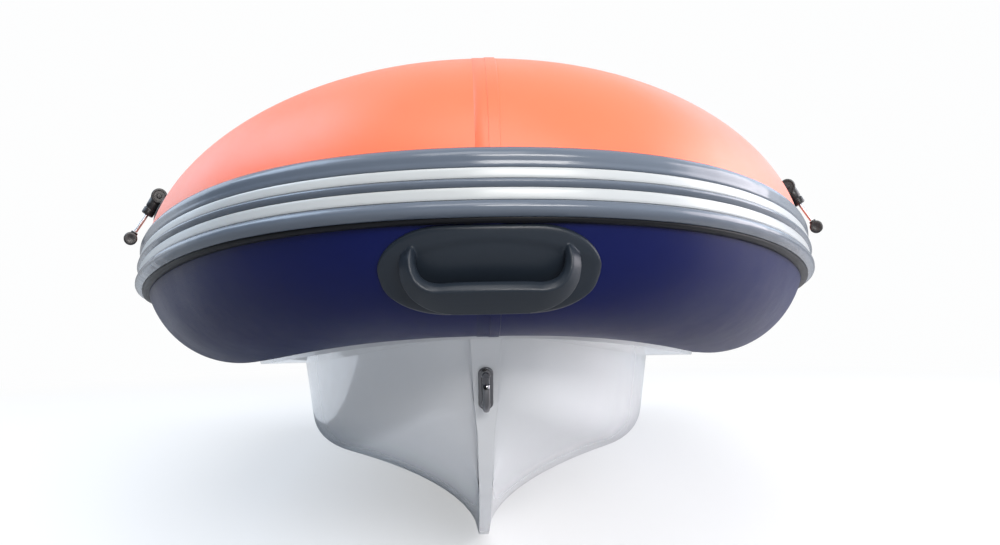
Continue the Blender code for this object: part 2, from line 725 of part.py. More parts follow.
def patch(name, stations, low_angle, high_angle, thickness, paint, columns=8):
    """Oblong pad with round ends that lies on the tube's skin."""
    lift = 0.0008
    centre = (low_angle + high_angle) / 2.0
    half = (high_angle - low_angle) / 2.0
    half_arc = radians(half) * TUBE_RADIUS
    lengths = [0.0]
    for s0, s1 in zip(stations, stations[1:]):
        step = skin_frame(s1, centre, 0.0)[0] - skin_frame(s0, centre, 0.0)[0]
        lengths.append(lengths[-1] + step.length)
    total = lengths[-1]
    rows = []
    for station, run in zip(stations, lengths):
        end = min(run, total - run)
        share = 1.0
        if end < half_arc:
            share = sqrt(max(0.0, 1.0 - ((half_arc - end) / half_arc) ** 2))
        share = max(share, END_SHARE)
        rows.append((station, share))
    points = []
    for station, share in rows:
        for j in range(columns + 1):
            angle = centre + half * share * (2.0 * j / columns - 1.0)
            points.append(skin_frame(station, angle, lift)[0])
        for j in range(columns + 1):
            angle = centre + half * share * (1.0 - 2.0 * j / columns) * 0.97
            points.append(skin_frame(station, angle, thickness)[0])
    count = 2 * (columns + 1)
    faces = []
    for i in range(len(rows) - 1):
        for j in range(count):
            k = (j + 1) % count
            faces.append((i * count + j, i * count + k, (i + 1) * count + k, (i + 1) * count + j))
    faces.append(tuple(range(count)))
    faces.append(tuple(reversed(range((len(rows) - 1) * count, len(rows) * count))))
    return solid(name, points, faces, paint)


def bow_stations(places, reach):
    """Stations across the bow whose points at a reach off the centreline have the given x."""

    def station_at(x):
        low, high = 0.0, 0.9
        for _ in range(30):
            middle = (low + high) / 2.0
            found = bow_station(middle)
            if found.x + found.out_x * reach < x:
                low = middle
            else:
                high = middle
        return bow_station(low)

    found = [(x, station_at(abs(x)) if abs(x) > 0.0005 else bow_station(0.0)) for x in places]
    return [station if x >= 0.0 else mirrored(station) for x, station in found]


def crowded(count):
    """Shares from -1 to 1 that lie closer together at both ends."""
    return [sin(pi / 2.0 * (2.0 * i / count - 1.0)) for i in range(count + 1)]


def strap(name, spots, thick, paint, sides=12):
    """Oval bar through spots of (point, normal, half width along the skin)."""
    rings = []
    for i, (point, normal, wide) in enumerate(spots):
        before, after = spots[max(0, i - 1)][0], spots[min(len(spots) - 1, i + 1)][0]
        ahead = (after - before).normalized()
        side = ahead.cross(normal).normalized()
        out = side.cross(ahead).normalized()
        rings.append([point + side * (wide * cos(t)) + out * (thick * sin(t))
                      for t in (2 * pi * k / sides for k in range(sides))])
    return loft(name, rings, paint)


def bow_handle(paints):
    """Moulded patch under the strake with its grip bar."""
    reach = TUBE_RADIUS * cos(radians(35.0))
    stations = bow_stations([HANDLE_HALF_WIDTH * share for share in crowded(24)], reach)
    made = patch("bow_handle", stations, *HANDLE_ANGLES, 0.007, paints["handle"])
    spots = []
    # Share of the way in, share of the way down, height over the tube and half width
    half = ((0.0, 0.0, 0.011, 0.009), (0.0, 0.16, 0.019, 0.0095), (0.01, 0.36, 0.027, 0.010),
            (0.05, 0.60, 0.032, 0.012), (0.14, 0.82, 0.034, 0.015), (0.30, 0.96, 0.034, 0.019),
            (0.48, 1.0, 0.034, 0.021), (0.74, 1.0, 0.034, 0.021), (1.0, 1.0, 0.034, 0.021))
    for sign, side in ((-1.0, half), (1.0, tuple(reversed(half[:-1])))):
        for share, drop, height, wide in side:
            station = bow_stations([sign * GRIP_HALF_WIDTH * (1.0 - share)], reach)[0]
            angle = GRIP_TOP_ANGLE + (GRIP_ANGLE - GRIP_TOP_ANGLE) * drop
            point, normal, _ = skin_frame(station, angle, height)
            spots.append((point, normal, wide))
    grip = strap("grip", spots, 0.009, paints["handle"])
    return combine(made, grip, "UNION")


def side_handles(paints):
    """Grab handles on the tubes' inboard faces."""
    for side, side_name in ((1, "port"), (-1, "starboard")):
        for place_name, aft in (("fore", 1.42), ("aft", 2.42)):
            name = "grab_handle_" + side_name + "_" + place_name
            stations = [straight_station(aft + 0.11 * share) for share in crowded(12)]
            if side < 0:
                stations = [mirrored(s) for s in stations]
            made = patch(name, stations, 139.0, 159.0, 0.005, paints["handle"], 4)
            route = []
            for i in range(9):
                station = straight_station(aft - 0.075 + 0.15 * i / 8)
                station = mirrored(station) if side < 0 else station
                height = (0.0115, 0.024, 0.030)[min(i, 8 - i, 2)]
                route.append(skin_frame(station, 149.0, height)[0])
            grip = as_mesh(bent_bar("grip", route, 0.009, paints["handle"], 1))
            combine(made, grip, "UNION")


def valves(paints):
    """Inflation valves on the inboard faces."""
    spots = (("valve_port", straight_station(2.58), 150.0),
             ("valve_starboard", mirrored(straight_station(2.58)), 150.0),
             ("valve_bow", bow_station(0.62), 140.0))
    for name, station, angle in spots:
        foot, normal, _ = skin_frame(station, angle, 0.0004)
        turned(name, foot, normal, [(0.0, 0.029), (0.004, 0.028), (0.0042, 0.020),
                                    (0.010, 0.018)], paints["black"], 20)


def rowlocks(paints):
    """Oar holders: a base with its hub on the tube, the steel pin and the knob on its end."""
    for side, side_name in ((1, "port"), (-1, "starboard")):
        station = bow_station(ROWLOCK_SHARE)
        pad = [bow_station(ROWLOCK_SHARE + 0.045 * share) for share in crowded(14)]
        if side < 0:
            station, pad = mirrored(station), [mirrored(s) for s in pad]
        base = patch("rowlock_base_" + side_name, pad, HUB_ANGLE - 13.0, HUB_ANGLE + 13.0,
                     0.006, paints["black"], 6)
        centre, normal, along = skin_frame(station, HUB_ANGLE, HUB_HEIGHT)
        knob_centre = skin_frame(station, KNOB_ANGLE, KNOB_HEIGHT)[0]
        axis = (knob_centre - centre).normalized()
        foot = turned("foot", centre - normal * (HUB_HEIGHT - 0.004), normal,
                      [(0.0, 0.019), (0.006, 0.016), (HUB_HEIGHT - 0.004, 0.012)],
                      paints["black"], 16)
        combine(base, foot, "UNION")
        hub = turned("hub", centre - along * 0.019, along,
                     [(0.0, HUB_RADIUS - 0.003), (0.003, HUB_RADIUS), (0.035, HUB_RADIUS),
                      (0.038, HUB_RADIUS - 0.003)], paints["black"], 20)
        combine(base, hub, "UNION")
        arm = turned("arm", centre, axis, [(0.0, 0.0150), (0.030, 0.0130), (0.034, 0.0118),
                                           (0.037, 0.0135), (0.048, 0.0130)],
                     paints["black"], 14)
        combine(base, arm, "UNION")
        length = (knob_centre - centre).length
        rod("rowlock_pin_" + side_name, centre + axis * (0.048 + GAP),
            centre + axis * (length - 0.017), 0.00425, paints["steel"], 12)
        neck = length - 0.017 + GAP
        knob = turned("rowlock_knob_" + side_name, centre + axis * neck, axis,
                      [(0.0, 0.0075), (0.006, 0.0075), (0.010, 0.0055)], paints["black"], 16)
        disc = turned("disc", knob_centre - along * 0.008, along,
                      [(0.0, 0.0125), (0.002, 0.0142), (0.014, 0.0142), (0.016, 0.0125)],
                      paints["black"], 20)
        combine(knob, disc, "UNION")


def hang(names, hinge):
    """Put the origin of pieces that turn together on their hinge axis."""
    for name in names:
        item = bpy.data.objects[name]
        item.data.transform(Matrix.Translation(-hinge))
        item.location = hinge


def main():
    clear_scene()
    paints = {
        "orange": material("orange_tube_fabric", (0.90, 0.17, 0.06), 0.42),
        "navy": material("navy_tube_fabric", (0.008, 0.008, 0.075), 0.42),
        "strake": material("grey_strake_rubber", (0.060, 0.070, 0.085), 0.45),
        "stripe": material("off_white_stripe", (0.55, 0.56, 0.55), 0.45),
        "lip": material("black_lip_rubber", (0.010, 0.010, 0.012), 0.55),
        "gelcoat": material("white_gelcoat", (0.72, 0.73, 0.75), 0.15),
        "liner": material("light_grey_gelcoat", (0.60, 0.61, 0.63), 0.30),
        "mat": material("grey_deck_mat", (0.10, 0.11, 0.12), 0.80),
        "steel": material("polished_steel", (0.60, 0.60, 0.62), 0.12, 1.0),
        "aluminium": material("aluminium_plate", (0.55, 0.56, 0.58), 0.35, 1.0),
        "handle": material("dark_grey_moulding", (0.045, 0.052, 0.062), 0.55),
        "black": material("black_plastic", (0.012, 0.012, 0.013), 0.40),
        "cap": material("grey_cone_cap", (0.030, 0.034, 0.040), 0.50),
        "cushion": material("grey_cushion_vinyl", (0.16, 0.17, 0.19), 0.60),
    }
    tubes(paints)
    strake(paints)
    hull(paints)
    transom(paints)
    bow_eye(paints)
    deck(paints)
    bow_locker(paints)
    seat(paints)
    bow_handle(paints)
    side_handles(paints)
    valves(paints)
    rowlocks(paints)
    hang(("bow_locker_lid", "bow_locker_latch"),
         place(0.0, LOCKER_BACK + HINGE_BEHIND, LOCKER_TOP))
    hang(("seat_lid", "seat_cushion"), place(0.0, SEAT_BACK + HINGE_BEHIND, SEAT_TOP))


main()
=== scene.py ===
# %% [markdown]
# # A rigid inflatable boat
# The boat is an inflated tube collar on a deep V hull of glass fibre. Its solids come from the
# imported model, which gives every place and size. This notebook dresses them: the big swept
# shapes are made again with finer steps from the same curve, small fittings get their real
# edges, and every surface gets a material built from nodes.

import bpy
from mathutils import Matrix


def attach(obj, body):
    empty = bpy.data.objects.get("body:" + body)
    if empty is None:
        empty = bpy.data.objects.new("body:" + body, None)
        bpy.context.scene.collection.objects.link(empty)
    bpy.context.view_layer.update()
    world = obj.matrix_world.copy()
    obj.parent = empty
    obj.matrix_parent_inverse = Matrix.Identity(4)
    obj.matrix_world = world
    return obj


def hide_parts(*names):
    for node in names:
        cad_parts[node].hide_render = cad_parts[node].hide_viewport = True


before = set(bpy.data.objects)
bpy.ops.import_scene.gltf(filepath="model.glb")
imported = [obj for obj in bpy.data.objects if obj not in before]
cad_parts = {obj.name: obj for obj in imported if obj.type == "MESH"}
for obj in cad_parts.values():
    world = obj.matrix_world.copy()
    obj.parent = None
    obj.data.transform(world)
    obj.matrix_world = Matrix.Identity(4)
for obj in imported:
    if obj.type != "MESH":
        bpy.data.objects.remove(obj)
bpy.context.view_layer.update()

# %% Tools of the lesson
from collections import namedtuple
from math import ceil, cos, hypot, pi, radians, sin, sqrt

import bmesh
import bpy
import numpy as np
from mathutils import Matrix, Vector
from mathutils.bvhtree import BVHTree

BOW_Y = -1.54
AXIS_Z = 0.42
GAP = 0.0003  # parts that touch are kept this far apart, so that no two faces coincide
ACROSS, AFT, UP = Vector((1, 0, 0)), Vector((0, 1, 0)), Vector((0, 0, 1))
SIDES = ((1, "port"), (-1, "starboard"))


def place(x, aft, up):
    """A place on the boat, counted from the tube's foremost centre and from its side axis."""
    return Vector((x, BOW_Y + aft, AXIS_Z + up))


def add_object(name, data):
    """Object for a mesh, a lamp or a camera, put into the scene."""
    made = bpy.data.objects.new(name, data)
    bpy.context.scene.collection.objects.link(made)
    return made


def feed(tree, node, inputs):
    """Set inputs of a node to values, or link them to sockets."""
    for slot, value in inputs.items():
        if isinstance(value, bpy.types.NodeSocket):
            tree.links.new(value, node.inputs[slot])
        else:
            node.inputs[slot].default_value = value
    return node


def add_node(tree, kind, *ordered, settings=None, **named):
    """New node; settings are its properties, the rest feeds its inputs by order or name."""
    made = tree.nodes.new(kind)
    for key, value in (settings or {}).items():
        setattr(made, key, value)
    feed(tree, made, dict(enumerate(ordered)))
    return feed(tree, made, {key.replace("_", " "): value for key, value in named.items()})


def calculate(tree, operation, *numbers):
    """Output of a Math node."""
    return add_node(tree, "ShaderNodeMath", *numbers, settings={"operation": operation}).outputs[0]


def ramp(tree, value, low, high, to_low, to_high):
    """Smooth step of a value from one range to another."""
    return add_node(tree, "ShaderNodeMapRange", value, low, high, to_low, to_high,
                    settings={"interpolation_type": "SMOOTHSTEP"}).outputs[0]

# %% [markdown]
# ## Camera, floor and light
# A studio picture of a white and orange boat on white needs broad soft light. Large panels
# stand at the sides, behind and in front, and two hang above, so that the wet-looking gelcoat
# and the satin fabric have something to mirror. The camera stands close to the bow at the
# height of the tube, as in the photograph, which makes the bow look large and the sides fall
# away quickly.

# %% Camera
EYE = (-0.0455, -1.6213, 0.0)
YAW, PITCH, ROLL = 0.0412, 0.0130, -0.0193
FOCUS_PER_WIDTH = 1.01245


def photo_camera():
    """Camera at the photograph's place, turned by yaw, pitch and roll."""
    data = bpy.data.cameras.new("photo_camera")
    data.sensor_width = 36.0
    data.lens = FOCUS_PER_WIDTH * data.sensor_width
    data.clip_start = 0.02
    camera = add_object("photo_camera", data)
    ahead = Vector((sin(YAW) * cos(PITCH), cos(YAW) * cos(PITCH), sin(PITCH)))
    right = Vector((cos(YAW), -sin(YAW), 0.0))
    up = right.cross(ahead)
    rolled_right = right * cos(ROLL) + up * sin(ROLL)
    rolled_up = up * cos(ROLL) - right * sin(ROLL)
    turn = Matrix((rolled_right, rolled_up, -ahead)).transposed().to_4x4()
    turn.translation = place(*EYE)
    camera.matrix_world = turn
    bpy.context.scene.camera = camera
    return camera


camera = photo_camera()
print("camera at", tuple(round(v, 3) for v in camera.location))

# %% Light panels
COLD, ROSY, WARM = (0.60, 0.77, 1.0), (1.0, 0.92, 0.955), (1.0, 0.975, 0.95)


def panel(name, place_at, target, width, height, power, colour=(1.0, 1.0, 1.0)):
    """Soft light panel that faces a point."""
    data = bpy.data.lights.new(name, "AREA")
    data.shape = "RECTANGLE"
    data.size, data.size_y = width, height
    data.energy, data.color = power, colour
    lamp = add_object(name, data)
    lamp.location = place_at
    lamp.rotation_euler = (Vector(target) - Vector(place_at)).to_track_quat("-Z", "Y").to_euler()


# Each panel: its place, the point it faces, its width and height, its power and its colour.
panel("side_panel_left", (-3.5, -0.9, 3.6), (0, -1.2, 0.5), 3.0, 2.4, 100, COLD)
panel("side_panel_right", (4.0, -0.6, 1.35), (0, -1.0, 0.4), 3.0, 2.5, 108, ROSY)
panel("back_panel_left", (-3.6, 2.0, 2.2), (-0.6, -0.8, 0.6), 3.0, 2.0, 20, COLD)
panel("back_panel_right", (3.1, 2.2, 2.7), (0.6, -0.8, 0.6), 3.4, 2.6, 38, COLD)
panel("top_panel", (0.0, 0.6, 4.2), (0, 0.4, 0.4), 4.5, 5.0, 32)
panel("front_top_panel", (-0.3, -4.6, 4.0), (0, -1.5, 0.4), 3.0, 2.0, 76)
panel("front_panel", (1.2, -5.3, 1.95), (0.1, -1.4, 0.2), 2.8, 1.0, 135, WARM)
bpy.context.scene.view_settings.view_transform = "Standard"
print(len(bpy.data.lights), "lamps")

# %% World round the boat
BACKDROP = (0.985, 0.988, 0.99, 1.0)
DIM_SIDE = (-0.86, -0.51, 0.0)


def studio_world():
    """White backdrop for the eye; the light it sheds is brighter from the sides and overhead."""
    world = bpy.data.worlds.new("studio")
    bpy.context.scene.world = world
    world.use_nodes = True
    tree = world.node_tree
    direction = add_node(tree, "ShaderNodeTexCoord").outputs["Generated"]
    across, _, upward = add_node(tree, "ShaderNodeSeparateXYZ", direction).outputs
    sideways = calculate(tree, "ABSOLUTE", across)
    dim = add_node(tree, "ShaderNodeVectorMath", direction, DIM_SIDE,
                   settings={"operation": "DOT_PRODUCT"}).outputs["Value"]
    low = calculate(tree, "MULTIPLY", ramp(tree, sideways, 0.35, 0.85, 0.34, 1.30),
                    ramp(tree, dim, 0.28, 0.62, 1.0, 0.06))
    high = ramp(tree, sideways, 0.40, 0.80, 0.62, 1.15)
    tint = add_node(tree, "ShaderNodeMix", ramp(tree, sideways, 0.3, 0.9, 0.0, 1.0),
                    settings={"data_type": "RGBA"})
    feed(tree, tint, {6: (1.0, 0.99, 0.98, 1.0), 7: (0.82, 0.91, 1.0, 1.0)})
    shed = feed(tree, tree.nodes["Background"], {
        "Strength": ramp(tree, upward, 0.25, 0.60, low, high), "Color": tint.outputs[2]})
    seen = add_node(tree, "ShaderNodeBackground", BACKDROP)
    eye = add_node(tree, "ShaderNodeLightPath").outputs["Is Camera Ray"]
    mixed = add_node(tree, "ShaderNodeMixShader", eye, shed.outputs[0], seen.outputs[0])
    feed(tree, tree.nodes["World Output"], {"Surface": mixed.outputs[0]})
    return world


print("world", studio_world().name)

# %% Floor
FLOOR_Z, FLOOR_REACH = -0.166, 30.0
CAMERA_FLOOR = 0.92
MELT_FROM, MELT_TO, MELT_START = 2.0, 4.6, 0.45


def studio_floor():
    """Floor under the keel that melts into the backdrop for the eye.

    What it throws back is uneven on purpose: the glossy hull mirrors it, so the paler and
    darker patches draw the bright and dim parts that the hull has in the photograph.
    """
    mesh = bpy.data.meshes.new("floor")
    r = FLOOR_REACH
    mesh.from_pydata([(x, y, FLOOR_Z) for x, y in ((-r, -r), (r, -r), (r, r), (-r, r))], [],
                     [(0, 1, 2, 3)])
    floor = add_object("floor", mesh)
    paint = bpy.data.materials.new("floor_paint")
    paint.use_nodes = True
    tree = paint.node_tree
    eye = add_node(tree, "ShaderNodeLightPath").outputs["Is Camera Ray"]
    spot = add_node(tree, "ShaderNodeTexCoord").outputs["Object"]
    across, along, _ = add_node(tree, "ShaderNodeSeparateXYZ", spot).outputs
    beside = ramp(tree, across, -0.4, 0.9, 0.33, 0.62)
    below = ramp(tree, calculate(tree, "ABSOLUTE", across), 0.28, 0.55, 0.72, beside)
    ahead = ramp(tree, along, -1.45, -1.15, 0.37, below)
    ahead = ramp(tree, across, -0.95, -0.55, beside, ahead)
    behind = ramp(tree, across, -0.93, -0.88, 0.74, ahead)
    mirrored = ramp(tree, along, 0.40, 0.46, ahead, behind)
    shader = feed(tree, tree.nodes["Principled BSDF"], {
        "Roughness": 1.0, "Specular IOR Level": 0.0,
        "Base Color": ramp(tree, eye, 0.0, 1.0, mirrored, CAMERA_FLOOR)})
    glow = add_node(tree, "ShaderNodeEmission", BACKDROP)
    reach = add_node(tree, "ShaderNodeVectorMath", spot, settings={"operation": "LENGTH"})
    far = ramp(tree, reach.outputs["Value"], MELT_FROM, MELT_TO, MELT_START, 1.0)
    melt = add_node(tree, "ShaderNodeMixShader", calculate(tree, "MULTIPLY", far, eye),
                    shader.outputs[0], glow.outputs[0])
    feed(tree, tree.nodes["Material Output"], {"Surface": melt.outputs[0]})
    mesh.materials.append(paint)


studio_floor()
print("floor at", FLOOR_Z)

# %% [markdown]
# ## Shared effects for the materials
# Real surfaces are never one flat colour. Four effects turn up again and again here, so each is
# a node group with named inputs: a slow drift of colour and gloss, a fine grain, a woven cloth
# and shallow waves. The groups give colours, roughness values and heights. The shader itself
# stays in each material, because gloss, coat and metal differ from one finish to the next.

# %% Node groups
def new_group(name, inputs, **outputs):
    """Shader group; inputs are given with their values, outputs with their kinds of socket."""
    tree = bpy.data.node_groups.new(name, "ShaderNodeTree")
    for label, value in inputs.items():
        kind = "NodeSocketColor" if isinstance(value, tuple) else "NodeSocketFloat"
        socket = tree.interface.new_socket(name=label, in_out="INPUT", socket_type=kind)
        socket.default_value = value
    for label, kind in outputs.items():
        tree.interface.new_socket(name=label, in_out="OUTPUT", socket_type="NodeSocket" + kind)
    return tree, tree.nodes.new("NodeGroupInput").outputs, tree.nodes.new("NodeGroupOutput")


def noise(tree, scale, detail, roughness=0.5):
    """Value of a noise in the piece's own space."""
    spot = add_node(tree, "ShaderNodeTexCoord").outputs["Object"]
    return add_node(tree, "ShaderNodeTexNoise", Vector=spot, Scale=scale, Detail=detail,
                    Roughness=roughness).outputs["Fac"]

# %% Drift, grain, cloth and waves
def drift_group():
    """Slow drift of colour and roughness over a surface."""
    tree, given, result = new_group(
        "surface_drift", {"Color": (0.5, 0.5, 0.5, 1.0), "Amount": 0.06, "Scale": 4.0,
                          "Roughness": 0.4, "Roughness Amount": 0.06},
        Color="Color", Roughness="Float")
    slow = calculate(tree, "MULTIPLY", noise(tree, given["Scale"], 2.5), 0.65)
    fast = noise(tree, calculate(tree, "MULTIPLY", given["Scale"], 9.0), 1.5)
    centred = calculate(tree, "SUBTRACT", calculate(tree, "MULTIPLY_ADD", fast, 0.35, slow), 0.5)
    swing = calculate(tree, "MULTIPLY", centred, given["Amount"])
    rough_swing = calculate(tree, "MULTIPLY", centred, given["Roughness Amount"])
    shaded = add_node(tree, "ShaderNodeHueSaturation", Color=given["Color"],
                      Value=calculate(tree, "MULTIPLY_ADD", swing, 4.0, 1.0))
    rough = calculate(tree, "MULTIPLY_ADD", rough_swing, 4.0, given["Roughness"])
    feed(tree, result, {"Color": shaded.outputs["Color"], "Roughness": rough})
    return tree


def grain_group():
    """Height of a fine moulded grain."""
    tree, given, result = new_group("moulded_grain", {"Scale": 900.0}, Height="Float")
    spot = add_node(tree, "ShaderNodeTexCoord").outputs["Object"]
    cells = add_node(tree, "ShaderNodeTexVoronoi", Vector=spot,
                     Scale=given["Scale"]).outputs["Distance"]
    feed(tree, result, {"Height": calculate(tree, "MULTIPLY_ADD", cells, 0.6,
                                            noise(tree, given["Scale"], 2.0))})
    return tree


def weave_group():
    """Height of the cloth that shows faintly through the coating; its UV map is in metres."""
    tree, given, result = new_group("coated_weave", {"Threads": 700.0}, Height="Float")
    spot = add_node(tree, "ShaderNodeUVMap").outputs["UV"]
    heights = [add_node(tree, "ShaderNodeTexWave", Vector=spot, Scale=given["Threads"],
                        Distortion=0.6, Detail=1.0,
                        settings={"wave_type": "BANDS", "bands_direction": way}).outputs["Fac"]
               for way in ("X", "Y")]
    feed(tree, result, {"Height": calculate(tree, "MULTIPLY", *heights)})
    return tree


def wave_group():
    """Height of long shallow waves, which bend the mirror image in a smooth surface."""
    tree, given, result = new_group("shallow_waves", {"Scale": 3.0}, Height="Float")
    feed(tree, result, {"Height": noise(tree, given["Scale"], 1.5, 0.4)})
    return tree


GROUPS = {"drift": drift_group(), "grain": grain_group(), "weave": weave_group(),
          "waves": wave_group()}
print("groups", sorted(GROUPS))

# %% [markdown]
# ## Finishes
# A finish is one Principled shader with up to two stacked bumps, and on dull surfaces a drift
# of colour. Glossy ones go without the drift: even a faint one shows as smudges in what they
# mirror. The bump heights are in metres, so a weave of a tenth of a millimetre stays that high
# however large the picture is. Gelcoat gets a clear coat over its pigment, which is what it
# really is: a hard glossy skin over a coloured resin.


def finish(name, colour, roughness, metallic=0.0, drift=0.05, drift_scale=4.0,
           rough_drift=0.05, bumps=(), coat=0.0, coat_roughness=0.05, sheen=0.0, specular=0.5):
    """Principled material; bumps is a list of (group, its scale, height in metres)."""
    paint = bpy.data.materials.new(name)
    paint.use_nodes = True
    tree = paint.node_tree
    shader = feed(tree, tree.nodes["Principled BSDF"], {
        "Base Color": (*colour, 1.0), "Roughness": roughness, "Metallic": metallic,
        "Coat Weight": coat, "Coat Roughness": coat_roughness, "Sheen Weight": sheen,
        "Sheen Roughness": 0.4, "Specular IOR Level": specular})
    if drift:
        life = add_node(tree, "ShaderNodeGroup", settings={"node_tree": GROUPS["drift"]},
                        Color=(*colour, 1.0), Amount=drift, Scale=drift_scale,
                        Roughness=roughness, Roughness_Amount=rough_drift)
        feed(tree, shader, {"Base Color": life.outputs["Color"],
                            "Roughness": life.outputs["Roughness"]})
    for kind, scale, height in bumps:
        effect = add_node(tree, "ShaderNodeGroup", settings={"node_tree": GROUPS[kind]})
        feed(tree, effect, {0: scale})
        bump = add_node(tree, "ShaderNodeBump", Height=effect.outputs["Height"],
                        Distance=height, Strength=1.0)
        under = shader.inputs["Normal"].links
        if under:
            feed(tree, bump, {"Normal": under[0].from_socket})
        feed(tree, shader, {"Normal": bump.outputs["Normal"]})
    return paint

# %% The boat's finishes
FABRIC_BUMPS = [("waves", 5.0, 0.004), ("weave", 300.0, 0.00006)]
TAPE_BUMPS = FABRIC_BUMPS[1:]
PAINTS = {
    "orange": finish("orange_tube_fabric", (0.90, 0.160, 0.070), 0.42,
                     bumps=FABRIC_BUMPS, drift=0.03, sheen=0.15),
    "navy": finish("navy_tube_fabric", (0.0030, 0.0068, 0.069), 0.40,
                   bumps=FABRIC_BUMPS, drift=0.08, specular=0.14),
    "orange_tape": finish("orange_tape_fabric", (0.88, 0.154, 0.067), 0.36,
                          bumps=TAPE_BUMPS, drift=0.04, sheen=0.15),
    "navy_tape": finish("navy_tape_fabric", (0.0028, 0.0064, 0.065), 0.36,
                        bumps=TAPE_BUMPS, drift=0.08, specular=0.12),
    "strake": finish("grey_strake_rubber", (0.106, 0.129, 0.168), 0.21, drift=0.0,
                     bumps=[("waves", 16.0, 0.0022)]),
    "stripe": finish("off_white_stripe", (0.465, 0.488, 0.50), 0.28, drift=0.0,
                     bumps=[("waves", 16.0, 0.0014)]),
    "lip": finish("black_lip_rubber", (0.008, 0.0085, 0.011), 0.42, drift=0.03,
                  specular=0.13, bumps=[("grain", 700.0, 0.00004)]),
    "gelcoat": finish("white_gelcoat", (0.70, 0.715, 0.74), 0.18, drift=0.0,
                      coat=1.0, coat_roughness=0.03, bumps=[("waves", 5.5, 0.0022)]),
    "liner": finish("light_grey_gelcoat", (0.55, 0.56, 0.58), 0.28, drift=0.0,
                    coat=0.6, coat_roughness=0.12, bumps=[("waves", 9.0, 0.0008)]),
    "tread": finish("tread_gelcoat", (0.46, 0.47, 0.49), 0.42, drift=0.0,
                    bumps=[("grain", 420.0, 0.00012)]),
    "mat": finish("grey_deck_mat", (0.085, 0.092, 0.10), 0.75, drift=0.12,
                  drift_scale=9.0, bumps=[("grain", 420.0, 0.0002)]),
    "steel": finish("polished_steel", (0.62, 0.62, 0.64), 0.07, metallic=1.0,
                    drift=0.02, bumps=[("waves", 60.0, 0.0002)]),
    # Painted reflection: a dark base colour for the bow eye's polished steel, standing for the
    # dark surroundings it mirrors.
    "painted_dark_steel": finish("steel_with_painted_dark_reflection", (0.20, 0.20, 0.21), 0.10, metallic=1.0,
                     drift=0.04, rough_drift=0.04, bumps=[("waves", 60.0, 0.0002)]),
    "satin": finish("satin_steel", (0.46, 0.46, 0.48), 0.30, metallic=0.7,
                    drift=0.0),
    "aluminium": finish("brushed_aluminium", (0.56, 0.57, 0.59), 0.32,
                        metallic=1.0, drift_scale=20.0, bumps=[("grain", 900.0, 0.00004)]),
    "handle": finish("dark_grey_moulding", (0.0145, 0.0205, 0.030), 0.35,
                     drift=0.06, specular=0.30, drift_scale=12.0,
                     bumps=[("grain", 650.0, 0.00007)]),
    "black": finish("black_plastic", (0.014, 0.014, 0.016), 0.36, drift=0.15,
                    drift_scale=20.0, bumps=[("grain", 900.0, 0.00004)]),
    "cap": finish("grey_cone_cap", (0.035, 0.040, 0.048), 0.45, drift=0.12,
                  bumps=[("grain", 600.0, 0.00006)]),
    "cushion": finish("grey_cushion_vinyl", (0.15, 0.16, 0.18), 0.48,
                      drift=0.06, drift_scale=10.0, bumps=[("grain", 380.0, 0.00018)]),
    "piping": finish("dark_piping_vinyl", (0.050, 0.054, 0.062), 0.42,
                     bumps=[("grain", 600.0, 0.00008)]),
    "thread": finish("pale_thread", (0.42, 0.43, 0.45), 0.7, drift=0.1,
                     drift_scale=60.0),
    "sealant": finish("grey_sealant", (0.22, 0.23, 0.24), 0.5, drift=0.08),
}
print(len(PAINTS), "finishes")

# %% [markdown]
# ## The line of the tube
# The collar is one tube that runs from the starboard stern round the bow to the port stern.
# Its centreline is a curve in plan, with a rise towards the bow. Everything on the boat hangs
# on that line, so it is worked out once: a table by length, from which any place can be read.

# %% Path table
TUBE_RADIUS = 0.22
HALF_SPACING = 0.61
BOW_LENGTH = 1.07
BOW_FULLNESS = 2.11
SHOULDER_FULLNESS = 1.22
SHEER_RISE, SHEER_LENGTH, SHEER_POWER = 0.14, 2.7, 3.0
SIDE_TURN, TURN_LENGTH = -3.6, 1.2
TRANSOM_AFT = 2.85
CONE_AFT = (2.85, 2.93, 3.03, 3.13, 3.21, 3.26)
CONE_RADIUS = (0.22, 0.213, 0.190, 0.150, 0.105, 0.072)

Station = namedtuple("Station", "x aft up out_x out_aft turn radius run")


def sheer(aft):
    """Rise of the tube's axis towards the bow."""
    return SHEER_RISE * max(0.0, 1.0 - aft / SHEER_LENGTH) ** SHEER_POWER


def plan_point(share):
    """Point (x, aft) of the bow curve at a share of its quarter turn."""
    angle = share * pi / 2.0
    x = HALF_SPACING * sin(angle) ** (2.0 / BOW_FULLNESS)
    return x, BOW_LENGTH * (1.0 - max(0.0, cos(angle)) ** (2.0 / SHOULDER_FULLNESS))


def hermite(t, start, leave, end, arrive):
    """Smooth way from one value to another that leaves and arrives with given slopes."""
    return (start * (2 * t ** 3 - 3 * t * t + 1) + leave * (t ** 3 - 2 * t * t + t)
            + end * (3 * t * t - 2 * t ** 3) + arrive * (t ** 3 - t * t))


